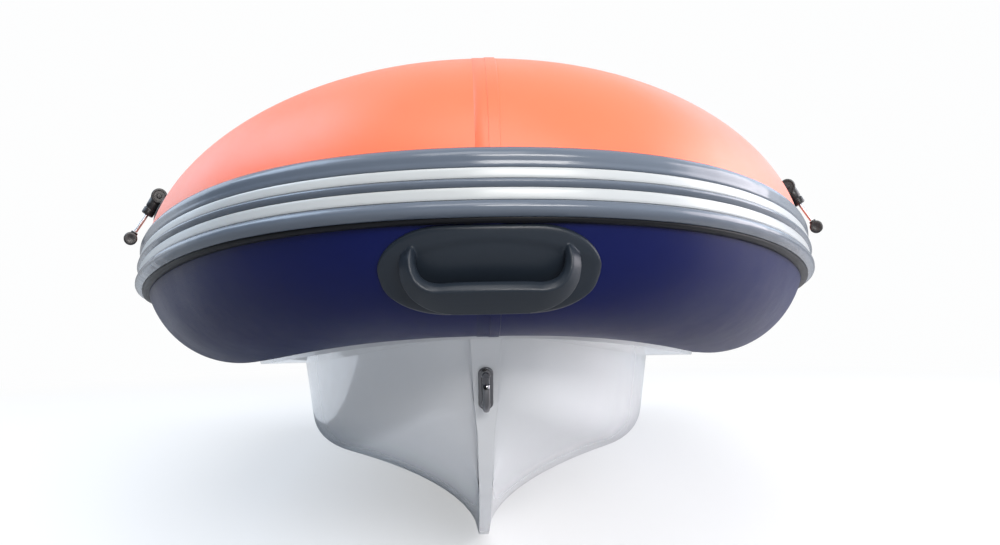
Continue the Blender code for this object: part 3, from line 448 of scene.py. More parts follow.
def path_table():
    """Rows of (run, x, aft, out_x, out_aft) from the bow to beyond the stern, port side."""
    steep = 0.90
    line = [plan_point(steep * i / 150.0) for i in range(151)]
    x0, aft0 = line[-1]
    back = plan_point(steep - 0.004)
    slope = (x0 - back[0]) / (aft0 - back[1])
    end_aft, steps = 1.13, 10
    span = end_aft - aft0
    for t in (i / steps for i in range(1, steps + 1)):
        line.append((hermite(t, x0, slope * span, HALF_SPACING, 0.0), aft0 + span * t))
    line += [(HALF_SPACING, end_aft + 0.05 * i) for i in range(1, 48)]
    rows, run = [], 0.0
    for i, (x, aft) in enumerate(line):
        ahead, behind = line[min(i + 1, len(line) - 1)], line[max(i - 1, 0)]
        dx, da = ahead[0] - behind[0], ahead[1] - behind[1]
        if i == 0:
            dx, da = 1.0, 0.0
        length = hypot(dx, da)
        if i:
            run += hypot(x - line[i - 1][0], aft - line[i - 1][1])
        rows.append((run, x, aft, da / length, -dx / length))
    return np.array(rows)


PATH = path_table()
print("half of the tube's line is", round(float(PATH[-1, 0]), 2), "m long")

# %% Places along the line
def station(run):
    """Station at a length from the bow; a negative length is on the starboard side."""
    far = abs(run)
    x, aft, out_x, out_aft = (float(np.interp(far, PATH[:, 0], PATH[:, c])) for c in (1, 2, 3, 4))
    size = hypot(out_x, out_aft)
    side = -1.0 if run < 0.0 else 1.0
    turn = SIDE_TURN * min(1.0, max(0.0, aft / TURN_LENGTH))
    radius = float(np.interp(aft, CONE_AFT, CONE_RADIUS))
    return Station(side * x, aft, sheer(aft), side * out_x / size, out_aft / size, turn, radius,
                   run)


def run_at_aft(aft):
    """Length from the bow at which the centreline is so far aft."""
    return float(np.interp(aft, PATH[:, 2], PATH[:, 0]))


def run_at_skin(x, reach):
    """Length from the bow at which a point so far outboard of the line has the given x."""
    return float(np.interp(x, PATH[:, 1] + PATH[:, 3] * reach, PATH[:, 0]))


def spread_runs(last, step):
    """Evenly spaced lengths from the starboard end round the bow to the port end."""
    count = max(2, ceil(last / step))
    return [last * i / count for i in range(-count, count + 1)]


def skin_point(at, angle, height=0.0):
    """Point on the tube: 0 degrees is outboard, 90 on top; height counts from the skin."""
    t = radians(angle + at.turn)
    reach = (at.radius + height) * cos(t)
    return place(at.x + at.out_x * reach, at.aft + at.out_aft * reach,
                 at.up + (at.radius + height) * sin(t))

# %% [markdown]
# ## Swept skins
# Tube, strake, stripes and tapes are all the same idea: a cross-section carried along the line.
# A Curve object with a bevel profile could do it, but its frame twists where the line bends in
# two directions, and it gives no UV map in metres. Here each ring of points is set one by one, so
# the top of the section stays up, and the UV map records real lengths for the weave.

# %% Mesh helpers
MERGE_DISTANCE = 0.00001


def shade(target, angle=35.0):
    """Smooth faces with sharp edges over an angle."""
    target.data.shade_smooth()
    target.data.set_sharp_from_angle(angle=radians(angle))
    return target


def new_piece(name, points, faces, paint, uvs=None, angle=35.0):
    """Mesh object at the origin, doubles merged and faces turned outwards."""
    mesh = bpy.data.meshes.new(name)
    mesh.from_pydata([tuple(p) for p in points], [], faces)
    work = bmesh.new()
    work.from_mesh(mesh)
    if uvs is not None:
        layer = work.loops.layers.uv.new("UVMap")
        for face in work.faces:
            for loop in face.loops:
                loop[layer].uv = uvs[loop.vert.index]
    bmesh.ops.remove_doubles(work, verts=work.verts, dist=MERGE_DISTANCE)
    bmesh.ops.recalc_face_normals(work, faces=work.faces)
    work.to_mesh(mesh)
    work.free()
    mesh.materials.append(PAINTS[paint])
    return shade(add_object(name, mesh), angle)

# %% Swept solids
def grid_faces(rows, columns, closed_rows=False, closed_columns=False):
    """Quads over a grid of points, row by row."""
    faces = []
    for i in range(rows if closed_rows else rows - 1):
        for j in range(columns if closed_columns else columns - 1):
            k, m = (i + 1) % rows, (j + 1) % columns
            faces.append((i * columns + j, i * columns + m, k * columns + m, k * columns + j))
    return faces


def solid(name, rings, paint, angle=35.0, uvs=None):
    """Closed solid through rings of points, with flat ends."""
    count, rows = len(rings[0]), len(rings)
    faces = grid_faces(rows, count, closed_columns=True)
    faces += [tuple(range(count)), tuple(reversed(range((rows - 1) * count, rows * count)))]
    return new_piece(name, [p for ring in rings for p in ring], faces, paint, uvs, angle)


def sweep(name, runs, profile, paint, angle=35.0):
    """Closed solid that carries a profile of (angle, height) along the tube."""
    stations = [station(r) for r in runs]
    arcs = [0.0]
    for (a0, h0), (a1, h1) in zip(profile, profile[1:]):
        arcs.append(arcs[-1] + hypot(radians(a1 - a0) * TUBE_RADIUS, h1 - h0))
    return solid(name, [[skin_point(s, a, h) for a, h in profile] for s in stations], paint,
                 angle, [(s.run, arc) for s in stations for arc in arcs])

# %% Modifiers, cuts and joints
def evaluated_mesh(target):
    """Mesh that a piece's modifiers make of it."""
    bpy.context.view_layer.update()
    graph = bpy.context.evaluated_depsgraph_get()
    return bpy.data.meshes.new_from_object(target.evaluated_get(graph))


def modify(target, kind, **settings):
    """Put a modifier with its settings on a piece."""
    made = target.modifiers.new(kind.lower(), kind)
    for key, value in settings.items():
        setattr(made, key, value)
    return made


def apply_modifiers(target, *remove):
    """Make the modifiers' result the mesh, and remove the tool objects."""
    mesh = evaluated_mesh(target)
    target.modifiers.clear()
    old, target.data = target.data, mesh
    bpy.data.meshes.remove(old)
    for tool in remove:
        bpy.data.objects.remove(tool, do_unlink=True)
    return target


def cut(target, tool, angle=35.0):
    """Cut a tool away from a piece."""
    modify(target, "BOOLEAN", operation="DIFFERENCE", solver="EXACT", object=tool)
    return shade(apply_modifiers(target, tool), angle)


def join(target, *tools):
    """Put meshes into one piece as they are."""
    work = bmesh.new()
    work.from_mesh(target.data)
    for tool in tools:
        work.from_mesh(tool.data)
        bpy.data.objects.remove(tool, do_unlink=True)
    work.to_mesh(target.data)
    work.free()
    return shade(target)


def dress(piece, *nodes, body="boat", slot=None):
    """Say which body a piece rides on and which solids it stands for; the slot is not used."""
    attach(piece, body)
    if nodes:
        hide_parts(*nodes)
    return piece

# %% [markdown]
# ## The inflated tube
# The tube is glued from sheets of coated fabric: orange above and navy below, with a cone at
# each stern end. The colours meet under the strake. Sheets join under narrow tapes, which show
# as bands a little under a millimetre proud of the skin.

# %% Tube halves
CONE_END = run_at_aft(CONE_AFT[-1])
ANGLE_STEP = 3.0
tube_runs = spread_runs(CONE_END, 0.020)
for name, node, first, paint in (("tube_upper_skin", "tube_upper", 0.0, "orange"),
                                 ("tube_lower_skin", "tube_lower", -180.0, "navy")):
    ring = [(first + ANGLE_STEP * i, 0.0) for i in range(61)]
    half = dress(sweep(name, tube_runs, ring, paint), node)
    print(name, len(half.data.polygons), "faces")

# %% Tapes over the seams
TAPE_THICKNESS = 0.0009
TAPE_EDGE = 0.0012
TAPE_WIDTH = 0.036
TAPE_TUCK = -0.0006


def tape_across(name, centre, width, low, high, paint, layers=1, level=False):
    """Tape round the tube between two angles; a level one keeps its width over the bow."""
    marks = [-0.5, -0.5 + TAPE_EDGE / width, 0.0, 0.5 - TAPE_EDGE / width, 0.5]
    steps = ceil(abs(high - low) / ANGLE_STEP)
    points, uvs = [], []
    for i, mark in enumerate(marks):
        height = TAPE_THICKNESS * layers if 0 < i < len(marks) - 1 else TAPE_TUCK
        for j in range(steps + 1):
            angle = low + (high - low) * j / steps
            run = centre + mark * width
            if level:
                reach = TUBE_RADIUS * max(0.0, cos(radians(angle)))
                run = run_at_skin(abs(run), reach) * (1.0 if run > 0.0 else -1.0)
            at = station(run)
            points.append(skin_point(at, angle, height))
            uvs.append((at.run, radians(angle) * TUBE_RADIUS))
    dress(new_piece(name, points, grid_faces(len(marks), steps + 1), paint, uvs, 60.0))


for name, middle, width, layers in (("bow_tape", -0.0006, 0.0370, 1),
                                    ("bow_overlap", 0.0086, 0.0176, 2)):
    tape_across(name + "_upper", middle, width, 13.8, 150.0, "orange_tape", layers, True)
    tape_across(name + "_lower", middle, width, -88.0, -13.8, "navy_tape", layers, True)
for side, side_name in SIDES:
    for place_name, aft in (("middle", 1.66), ("cone", 2.90)):
        run = side * run_at_aft(aft)
        name = "seam_tape_" + place_name + "_" + side_name
        tape_across(name + "_upper", run, TAPE_WIDTH, 13.0, 176.0, "orange_tape")
        tape_across(name + "_lower", run, TAPE_WIDTH, -176.0, -13.0, "navy_tape")
print("tapes done")

# %% [markdown]
# ## The rub strake
# A thick rubber moulding runs round the whole boat at its widest line and takes the knocks.
# Its section has a soft top edge, two grooves with off-white strips, a ridge between them and a
# fat lower bead with a black lip under it. The section is read off in millimetres of arc from
# the top edge and of height over the skin.

# %% Section of the strake
STRAKE_HALF_ANGLE = 14.0
STRAKE_WIDTH = 0.1075
STRAKE_SHADE = 52.0
STRIPE_BULGE = 0.0003


def mm(*numbers):
    """Pairs in metres from a run of numbers in millimetres."""
    return [(a / 1000.0, b / 1000.0) for a, b in zip(numbers[::2], numbers[1::2])]


STRAKE_SECTION = mm(
    0, 0, 0.8, 3.5, 3.2, 6.8, 7.5, 9.8, 12.2, 11.4, 16.5, 11.3, 20.5, 10, 24, 9.6, 26.8, 10,
    28.8, 9.2, 30, 7.8, 30.5, 6.2, 30.7, 5.8, 45.4, 6.8, 45.7, 9.8, 46.5, 12.8, 47.9, 15, 49.8,
    15.7, 52.3, 14.7, 54.7, 12.4, 56.5, 10.2, 57.3, 8.8, 57.5, 8.4, 73.8, 10.8, 74.1, 14.6, 75,
    18, 77, 21, 80, 23.2, 83.5, 24.1, 87.2, 23.2, 90.6, 20.8, 93.6, 17.6, 95.6, 14.8, 96.4, 13,
    96.6, 0)
STRIPES = (("strake_stripe_upper", 0.0309, 0.0452, 0.0058, 0.0092, 0.0096),
           ("strake_stripe_lower", 0.0577, 0.0736, 0.0084, 0.0116, 0.0138))
LIP_SECTION = mm(96.7, 11.8, 98.4, 12.8, 100.8, 12.4, 103.2, 10.2, 105.2, 6.6, 106.6, 3, 107, 0)


def strake_angle(arc):
    """Angle on the tube of a place so far below the strake's top edge."""
    return STRAKE_HALF_ANGLE * (1.0 - 2.0 * arc / STRAKE_WIDTH)


def on_strake(section):
    """Section of (arc, height) as (angle, height), closed along the skin."""
    outer = [(strake_angle(arc), height + GAP) for arc, height in section]
    last, first = outer[-1][0], outer[0][0]
    return outer + [(last + (first - last) * t, GAP) for t in (0.25, 0.5, 0.75)]

# %% Strake, stripes and lip
strake_runs = spread_runs(run_at_aft(TRANSOM_AFT), 0.016)
strake = sweep("rub_strake_moulding", strake_runs, on_strake(STRAKE_SECTION), "strake",
               STRAKE_SHADE)
dress(strake, "rub_strake")
for name, top, bottom, floor, high_top, high_bottom in STRIPES:
    section = [(top, floor), (top, high_top - 0.0006), (top + 0.0006, high_top)]
    for t in (0.25, 0.5, 0.75):
        bulge = STRIPE_BULGE * (1.0 - abs(2.0 * t - 1.0) ** 2)
        section.append((top + (bottom - top) * t, high_top + (high_bottom - high_top) * t + bulge))
    section += [(bottom - 0.0006, high_bottom), (bottom, high_bottom - 0.0006), (bottom, floor)]
    dress(sweep(name + "_strip", strake_runs,
                [(strake_angle(a), h + 0.0004) for a, h in section], "stripe", 50.0), name)
dress(sweep("strake_lip_moulding", strake_runs, on_strake(LIP_SECTION), "lip", STRAKE_SHADE),
      "strake_lip")
print("strake", len(strake.data.polygons), "faces")

# %% [markdown]
# ## The glass-fibre hull
# The hull is one moulding: a bed that the tube is glued into, a side wall, a rounded chine and
# a deep V that runs into a flat band on the stem. It could be sculpted, but ribs are easier to
# keep true. Each rib below is worked out from a few curves, then a smooth curve is laid through
# the same place on every rib, as a boatbuilder bends planks over frames.

# %% Curves of the hull
CREASE_INSET, CREASE_DROP, RIM_INSET = 0.158, 0.225, 0.194
STEM_CURVE = ((0.15, -0.09), (0.24, -0.26), (0.38, -0.60), (0.90, -0.575))
KEEL_END_UP = -0.580
STEM_BAND = ((0.15, 0.22, 0.255, 0.36, 0.60, 1.00), (0.0270, 0.0205, 0.0145, 0.0124, 0.0104,
                                                     0.0092))
CHINE_BOW = (0.213, -0.208)
CHINE_STERN_UP, CHINE_POWER = -0.415, 6.0
CHINE_INSET_BOW, CHINE_INSET_SIDE = 0.075, 0.025
CHINE_ROUNDING, HOLLOW_POWER, KEEL_LAG = 0.16, 0.50, 0.30
BED_ANGLES = (-145.0, -126.0, -112.0, -98.0)
SHELF_THICKNESS = 0.008
WALL_SHARES = (0.0, 0.17, 0.34, 0.51, 0.68)
BOTTOM_SHARES = (0.24, 0.32, 0.41, 0.50, 0.59, 0.68, 0.76, 0.83, 0.89, 0.94, 0.975)
STEM_FACING = 0.999


def bend(start, corner, end, steps):
    """Points of a soft turn from one point to another, drawn towards a corner."""
    return [start * (1 - t) ** 2 + corner * 2 * t * (1 - t) + end * t * t
            for t in (k / steps for k in range(steps + 1))]


def stem_table():
    """The stem and keel as a table of (aft, up)."""
    a, b, c, d = (np.array(p) for p in STEM_CURVE)
    t = np.linspace(0.0, 1.0, 120)[:, None]
    curve = a * (1 - t) ** 3 + b * 3 * (1 - t) ** 2 * t + c * 3 * (1 - t) * t * t + d * t ** 3
    return np.vstack([curve, [TRANSOM_AFT, KEEL_END_UP]])


STEM = stem_table()


def keel_up(aft):
    """Height of the stem and keel."""
    return float(np.interp(aft, STEM[:, 0], STEM[:, 1]))


def band_half_width(aft):
    """Half the width of the flat band on the stem and keel."""
    return float(np.interp(aft, *STEM_BAND))

# %% Ribs of the hull
def inset_point(at, inset, drop):
    """Point inboard of the tube's axis and below it."""
    return place(at.x - at.out_x * inset, at.aft - at.out_aft * inset, at.up - drop)


def hull_rib(at):
    """Points of one rib on the port side: bed, shelf edge, side, chine, bottom and keel."""
    ahead = 1.0 - at.out_x
    rim = inset_point(at, RIM_INSET, 0.0)
    rim.z = skin_point(at, BED_ANGLES[0], GAP).z
    rib = [rim] + [skin_point(at, angle, GAP) for angle in BED_ANGLES]
    for share in (0.25, 0.5, 0.75, 1.0):
        rib.append(skin_point(at, BED_ANGLES[-1], GAP + (SHELF_THICKNESS - GAP) * share))
    crease = inset_point(at, CREASE_INSET, CREASE_DROP)
    chine = inset_point(at, CREASE_INSET + CHINE_INSET_SIDE
                        + (CHINE_INSET_BOW - CHINE_INSET_SIDE) * ahead, 0.0)
    share = max(0.0, 1.0 - (chine.y - BOW_Y - CHINE_BOW[0]) / (TRANSOM_AFT - CHINE_BOW[0]))
    chine.z = AXIS_Z + CHINE_STERN_UP + (CHINE_BOW[1] - CHINE_STERN_UP) * share ** CHINE_POWER
    keel_aft = min(TRANSOM_AFT, crease.y - BOW_Y + KEEL_LAG * ahead ** 0.5
                   * max(0.0, 1.0 - at.aft / TRANSOM_AFT))
    keel = place(band_half_width(keel_aft), keel_aft, keel_up(keel_aft))
    if ahead > STEM_FACING:
        crease = place(0.0, *STEM_CURVE[0])
        chine = place(0.0, CHINE_BOW[0], keel_up(CHINE_BOW[0]))
    crease.x = max(abs(crease.x), band_half_width(crease.y - BOW_Y))
    chine.x = max(abs(chine.x), band_half_width(chine.y - BOW_Y))
    power = 1.0 + (HOLLOW_POWER - 1.0) * (1.0 - ahead)

    def bottom(part):
        point = chine.lerp(keel, part)
        point.z = keel.z + (chine.z - keel.z) * (1.0 - part) ** power
        return point

    wall = [crease.lerp(chine, part) for part in WALL_SHARES]
    wall += bend(wall[-1], chine, bottom(CHINE_ROUNDING), 8)[1:-1]
    wall += [bottom(part) for part in (CHINE_ROUNDING, *BOTTOM_SHARES)] + [keel]
    if ahead > STEM_FACING:
        for point in wall:
            point.z = AXIS_Z + keel_up(point.y - BOW_Y)
            point.x = band_half_width(point.y - BOW_Y)
    return rib + wall

# %% Planks over the ribs
def planks(ribs, steps):
    """Smooth curves through the same place on every rib, as rows of points."""
    grid = np.array([[tuple(p) for p in rib] for rib in ribs])
    first = 2 * grid[0] - grid[1]
    last = 2 * grid[-1] - grid[-2]
    grid = np.vstack([first[None], grid, last[None]])
    rows = []
    for i in range(1, len(grid) - 2):
        p0, p1, p2, p3 = grid[i - 1:i + 3]
        d0, d1, d2 = (np.maximum(np.linalg.norm(b - a, axis=1), 1e-6)[:, None]
                      for a, b in ((p0, p1), (p1, p2), (p2, p3)))
        m1 = ((p1 - p0) / d0 * d1 + (p2 - p1) / d1 * d0) / (d0 + d1) * d1
        m2 = ((p2 - p1) / d1 * d2 + (p3 - p2) / d2 * d1) / (d1 + d2) * d1
        if i == 1:
            m1 = p2 - p1
        rows += [hermite(k / steps, p1, m1, p2, m2) for k in range(steps)]
    rows.append(grid[-2])
    return rows

# %% Outlines between the tubes
OUTLINE_STEP = 0.03


def bow_run(share):
    """Length from the bow of a share of the bow curve."""
    return run_at_aft(plan_point(share)[1])


def inner_outline(inset, front, back):
    """Outline (x, aft) between the tubes, symmetric, counted from the front port corner."""
    x = PATH[:, 1] - PATH[:, 3] * inset
    aft = PATH[:, 2] - PATH[:, 4] * inset
    keep = (x > 0.0) & (np.arange(len(x)) > 3)
    x, aft = x[keep], np.maximum.accumulate(aft[keep])
    count = max(2, ceil((back - front) / OUTLINE_STEP))
    places = [front + (back - front) * i / count for i in range(count + 1)]
    port = [(float(np.interp(a, aft, x)), a) for a in places]
    return port + [(-px, a) for px, a in reversed(port)]


def prism(name, outline, low, high, paint):
    """Upright solid over an outline of (x, aft)."""
    return solid(name, [[place(x, aft, up) for x, aft in outline] for up in (low, high)], paint)

# %% Hull
def hull_mesh():
    """Closed hull from the planked ribs; the cockpit and the foredeck are cut in later."""
    runs = [bow_run(i / 20) if i else 0.0 for i in range(19)] + [bow_run(1.0)]
    side = TRANSOM_AFT - BOW_LENGTH
    runs += [run_at_aft(BOW_LENGTH + side * i / 8) for i in range(1, 9)]
    port = planks([hull_rib(station(r)) for r in runs], 4)
    rows = [row * (-1.0, 1.0, 1.0) for row in reversed(port)] + port
    count, last = len(rows[0]), len(rows) - 1
    faces = grid_faces(len(rows), count)
    for a in range(len(port) - 1):
        b = last - a
        for j in (0, count - 1):
            faces.append((a * count + j, (a + 1) * count + j, (b - 1) * count + j, b * count + j))
    faces.append((*range(count), *(last * count + j for j in reversed(range(count)))))
    return new_piece("hull_moulding", [p for row in rows for p in row], faces, "gelcoat",
                     angle=40.0)


FLOOR_UP, FOREDECK_UP, CUT_TOP = -0.190, -0.075, 0.3
COCKPIT_FRONT, COCKPIT_BACK, FOREDECK_FRONT = 1.16, 2.795, 0.55
CUT_INSET, CUT_OVERLAP = RIM_INSET + 0.004, 0.05
hull = hull_mesh()
cut(hull, prism("cockpit_cut", inner_outline(CUT_INSET, COCKPIT_FRONT, COCKPIT_BACK), FLOOR_UP,
                CUT_TOP, "gelcoat"))
cut(hull, prism("foredeck_cut", inner_outline(CUT_INSET, FOREDECK_FRONT,
                                              COCKPIT_FRONT + CUT_OVERLAP),
                FOREDECK_UP, CUT_TOP, "gelcoat"), 40.0)
dress(hull, "hull")
print("hull", len(hull.data.polygons), "faces")

# %% [markdown]
# ## The bow handle
# A moulded rubber pad is glued under the strake. Its grip is a broad bar that grows out of the
# pad at both ends in one smooth flow. Two simple solids, the pad and the bar, are joined by
# remeshing both into small voxels. A few rounds of smoothing then melt the joint, as the
# mould-maker's filler would.

# %% Pads on the skin
PAD_STEP, PAD_TIP = 0.005, 0.03


def skin_frame(at, angle, height=0.0):
    """Point over the tube's skin, with its outward and lengthwise directions."""
    t = radians(angle)
    normal = Vector((at.out_x * cos(t), at.out_aft * cos(t), sin(t)))
    along = Vector((-at.out_aft, at.out_x, 0.0))
    return place(at.x, at.aft, at.up) + normal * (at.radius + height), normal, along


def oval_pad(name, runs, low_angle, high_angle, thickness, paint, columns=20, edge=0.25,
             turn=None, hollow=None):
    """Pad with round ends on the skin; its edge rises softly to the full thickness."""
    centre, half = (low_angle + high_angle) / 2.0, (high_angle - low_angle) / 2.0
    first, last = runs
    half_arc = radians(half) * TUBE_RADIUS
    turn = turn or half_arc
    count = ceil((last - first) / PAD_STEP)
    marks = [2.0 * j / columns - 1.0 for j in range(columns + 1)]
    rings = []
    for i in range(count + 1):
        share_along = sin(pi / 2.0 * (2.0 * i / count - 1.0))
        run = (first + last) / 2.0 + (last - first) / 2.0 * share_along
        end = min(run - first, last - run)
        wide = max(PAD_TIP, sqrt(max(0.0, 1.0 - max(0.0, 1.0 - end / turn) ** 2)))
        at = station(run)
        ring = [skin_frame(at, centre + half * wide * mark)[0] for mark in marks]
        for mark in reversed(marks):
            border = min((1.0 - abs(mark)) * wide * half_arc, end)
            rise = min(1.0, border / (edge * half_arc))
            height = thickness * sqrt(max(0.0, 1.0 - (1.0 - rise) ** 2)) + GAP
            angle = centre + half * wide * mark
            height -= hollow(at.x, angle) if hollow else 0.0
            ring.append(skin_frame(at, angle, height)[0])
        rings.append(ring)
    return solid(name, rings, paint)

# %% Smooth lines and melted joints
def smooth_line(keys, count):
    """Rows of numbers read smoothly along a table of key rows."""
    grid = np.array(keys, float)
    padded = np.vstack([2 * grid[0] - grid[1], grid, 2 * grid[-1] - grid[-2]])
    rows = []
    for s in np.linspace(0.0, len(grid) - 1.0, count):
        i = min(int(s), len(grid) - 2)
        p0, p1, p2, p3 = padded[i:i + 4]
        rows.append(hermite(s - i, p1, (p2 - p0) / 2.0, p2, (p3 - p1) / 2.0))
    return rows


def fuse(target, tool, voxel, rounds):
    """Melt two solids into one by voxels, then smooth the joint."""
    join(target, tool)
    modify(target, "REMESH", mode="VOXEL", voxel_size=voxel)
    modify(target, "SMOOTH", factor=0.5, iterations=rounds)
    return shade(apply_modifiers(target), 60.0)

# %% Shape of the grip
HANDLE_REACH = TUBE_RADIUS * cos(radians(35.0))
HANDLE_HALF, GRIP_HALF = 0.160, 0.108
GRIP_TOP_ANGLE, GRIP_DROP = -23.0, 17.5
GRIP_CREST, GRIP_RIM, CREST_IN = 0.0096, -0.0030, 0.0064
# Half of the grip from its end to the middle: share of the length, share of the drop down the
# skin, height over the skin, and how far the section reaches inwards and outwards.
HALF_GRIP = (
    (0.012, -0.03, -0.0050, 0.0070, 0.0075), (0.004, 0.00, 0.0040, 0.0090, 0.0105),
    (0.0, 0.06, 0.0105, 0.0098, 0.0120), (0.0, 0.15, 0.0168, 0.0098, 0.015),
    (0.02, 0.31, 0.024, 0.0098, 0.018), (0.075, 0.49, 0.030, 0.0100, 0.023),
    (0.175, 0.65, 0.0325, 0.0115, 0.029), (0.32, 0.765, 0.0330, 0.0150, 0.034),
    (0.50, 0.81, 0.0330, 0.0185, 0.037), (0.74, 0.81, 0.0330, 0.0190, 0.038),
    (1.0, 0.81, 0.0330, 0.0190, 0.038))


def finger_hollow(x, angle):
    """Depth of the shallow oval hollow behind the grip."""
    inside = min(1.0, max(0.0, 1.0 - hypot(x / 0.100, (angle + 34.5) / 16.4)) / 0.22)
    return 0.0024 * inside * inside * (3.0 - 2.0 * inside)


def grip_section(inner, outer):
    """Section of the grip as (across, height): a bright facet inside, a long slope outside."""
    section = [(-inner + x, up) for x, up in mm(0, -6, 0, 0.4, 1.3, 3.8, 2.7, 7, 4.3, 9)]
    start = -inner + CREST_IN
    section += [(start + (outer - start) * s,
                 GRIP_CREST + (GRIP_RIM - GRIP_CREST) * (0.8 * s + 0.2 * s * s))
                for s in (0.0, 0.2, 0.4, 0.6, 0.8, 1.0)]
    return section + [(outer + 0.0006, GRIP_RIM - 0.004), (outer - 0.004, -0.0110),
                      (outer * 0.4, -0.0120), (-inner * 0.4, -0.0120), (-inner + 0.003, -0.0105)]

# %% Bow handle
def grip_bar():
    """Broad bar across the handle; its ridge lies inside and its face slopes to the rim."""
    keys = [(-1.0 + share, *rest) for share, *rest in HALF_GRIP]
    keys += [(-x, *rest) for x, *rest in reversed(keys[:-1])]
    spots = []
    for x, drop, height, inner, outer in smooth_line(keys, 90):
        side = 1.0 if x >= 0.0 else -1.0
        at = station(side * run_at_skin(GRIP_HALF * abs(x), HANDLE_REACH))
        point, normal, _ = skin_frame(at, GRIP_TOP_ANGLE - GRIP_DROP * drop, height)
        spots.append((point, normal, inner, outer))
    rings = []
    for i, (point, normal, inner, outer) in enumerate(spots):
        ahead = (spots[min(i + 1, len(spots) - 1)][0] - spots[max(i - 1, 0)][0]).normalized()
        side = ahead.cross(normal).normalized()
        out = side.cross(ahead).normalized()
        rings.append([point + side * across + out * height
                      for across, height in grip_section(inner, outer)])
    return solid("grip", rings, "handle")


handle_end = run_at_skin(HANDLE_HALF, HANDLE_REACH)
handle = oval_pad("bow_handle_moulding", (-handle_end, handle_end), -54.7, -13.9, 0.0066,
                  "handle", 56, edge=0.14, turn=0.060, hollow=finger_hollow)
fuse(handle, grip_bar(), voxel=0.0014, rounds=6)
dress(handle, "bow_handle")
print("handle", len(handle.data.polygons), "faces")

# %% [markdown]
# ## The bow eye
# A forged stainless eye takes the towing line. Its plate lies on the flat band of the stem, and
# a bent wire stands out of it with a small bead of weld round each foot. Its polished steel gets
# a dark base colour, which is a painted reflection of dark surroundings. The wire is a circle
# carried along a route whose corners are rounded first. Each circle takes its direction from
# the one before, which keeps the bar from twisting in the bends.

# %% Bars and turned parts
def circle(centre, across, other, radius, sides):
    """Ring of points round a centre, in the plane of two directions."""
    return [centre + (across * cos(t) + other * sin(t)) * radius
            for t in (2 * pi * k / sides for k in range(sides))]


def turned(name, base, axis, profile, paint, sides=36):
    """Turned solid: (along, radius) pairs from the base point along an axis."""
    axis = axis.normalized()
    across = axis.orthogonal().normalized()
    other = axis.cross(across)
    return solid(name, [circle(base + axis * along, across, other, radius, sides)
                        for along, radius in profile], paint)


def bent_wire(name, points, radius, paint, sides):
    """Round bar through points."""
    rings, across = [], None
    for i, point in enumerate(points):
        ahead = (points[min(i + 1, len(points) - 1)] - points[max(i - 1, 0)]).normalized()
        across = ahead.orthogonal() if across is None else across - ahead * across.dot(ahead)
        across.normalize()
        rings.append(circle(point, across, ahead.cross(across), radius, sides))
    return solid(name, rings, paint, 50.0)


def rounded_route(corners, radius, steps=10):
    """Route through corners, each one rounded."""
    route = [corners[0]]
    for before, corner, after in zip(corners, corners[1:], corners[2:]):
        route += bend(corner + (before - corner).normalized() * radius, corner,
                      corner + (after - corner).normalized() * radius, steps)
    return route + [corners[-1]]

# %% Bow eye
BEAD = 0.003
PLATE_LEVELS = ((0.0, 0.0), (0.0, 0.0016), (-0.0004, 0.0024), (-0.0012, 0.0030))


def eye_fitting(name, node, foot, out, along, spacing, reach, wire, plate_width, paint="steel"):
    """Eye of bent wire with its weld beads, on an oblong plate with rounded edges."""
    across = out.cross(along)
    half, end_radius = spacing / 2.0, plate_width / 2.0
    rings = []
    for growth, lift in PLATE_LEVELS:
        r = end_radius + growth
        turns = [(end, end * (-pi / 2 + pi * i / 20)) for end in (1.0, -1.0) for i in range(21)]
        rings.append([foot + along * (end * (half + r * cos(t))) + across * (r * sin(t))
                      + out * lift for end, t in turns])
    plate = solid(name, rings, paint)
    corners = [foot + along * (end * half) + out * lift
               for end, lift in ((1, 0.001), (1, reach), (-1, reach), (-1, 0.001))]
    bar = bent_wire("wire", rounded_route(corners, half * 0.95), wire, paint, 20)
    bead = ((0.0, wire + BEAD), (BEAD * 0.35, wire + BEAD * 0.95),
            (BEAD * 0.75, wire + BEAD * 0.45), (BEAD, wire * 0.98))
    beads = [turned("bead", foot + along * (end * half) + out * 0.0029, out, bead, paint, 24)
             for end in (1, -1)]
    return dress(join(plate, bar, *beads), node)


EYE_AFT = 0.199
rise = keel_up(EYE_AFT + 0.01) - keel_up(EYE_AFT - 0.01)
stem_slope = Vector((0.0, 0.02, rise)).normalized()
stem_out = Vector((0.0, stem_slope.z, -stem_slope.y)).normalized()
# The eye's steel is darkened: painted reflection of dark surroundings on polished steel.
eye_fitting("bow_eye_fitting", "bow_eye",
            place(0.0, EYE_AFT, keel_up(EYE_AFT)) + stem_out * 0.0004, stem_out, stem_slope,
            spacing=0.064, reach=0.037, wire=0.0066, plate_width=0.027, paint="painted_dark_steel")
print("bow eye done")

# %% [markdown]
# ## The rowlocks
# On each shoulder a black nylon pad carries a round hub. A tapered arm leaves the hub with a
# ribbed collar, then comes a bare steel pin and a knob. They are turned parts, so each is a
# profile spun round its own axis.

# %% Profiles of the rowlock
ROWLOCK_RUN = bow_run(0.637)
ROWLOCK_SPREAD = (bow_run(0.682) - bow_run(0.592)) / 2.0
HUB_ANGLE, HUB_HEIGHT, BASE_HALF_ANGLE = 38.7, 0.021, 13.0
KNOB_ANGLE, KNOB_HEIGHT = 13.4, 0.035
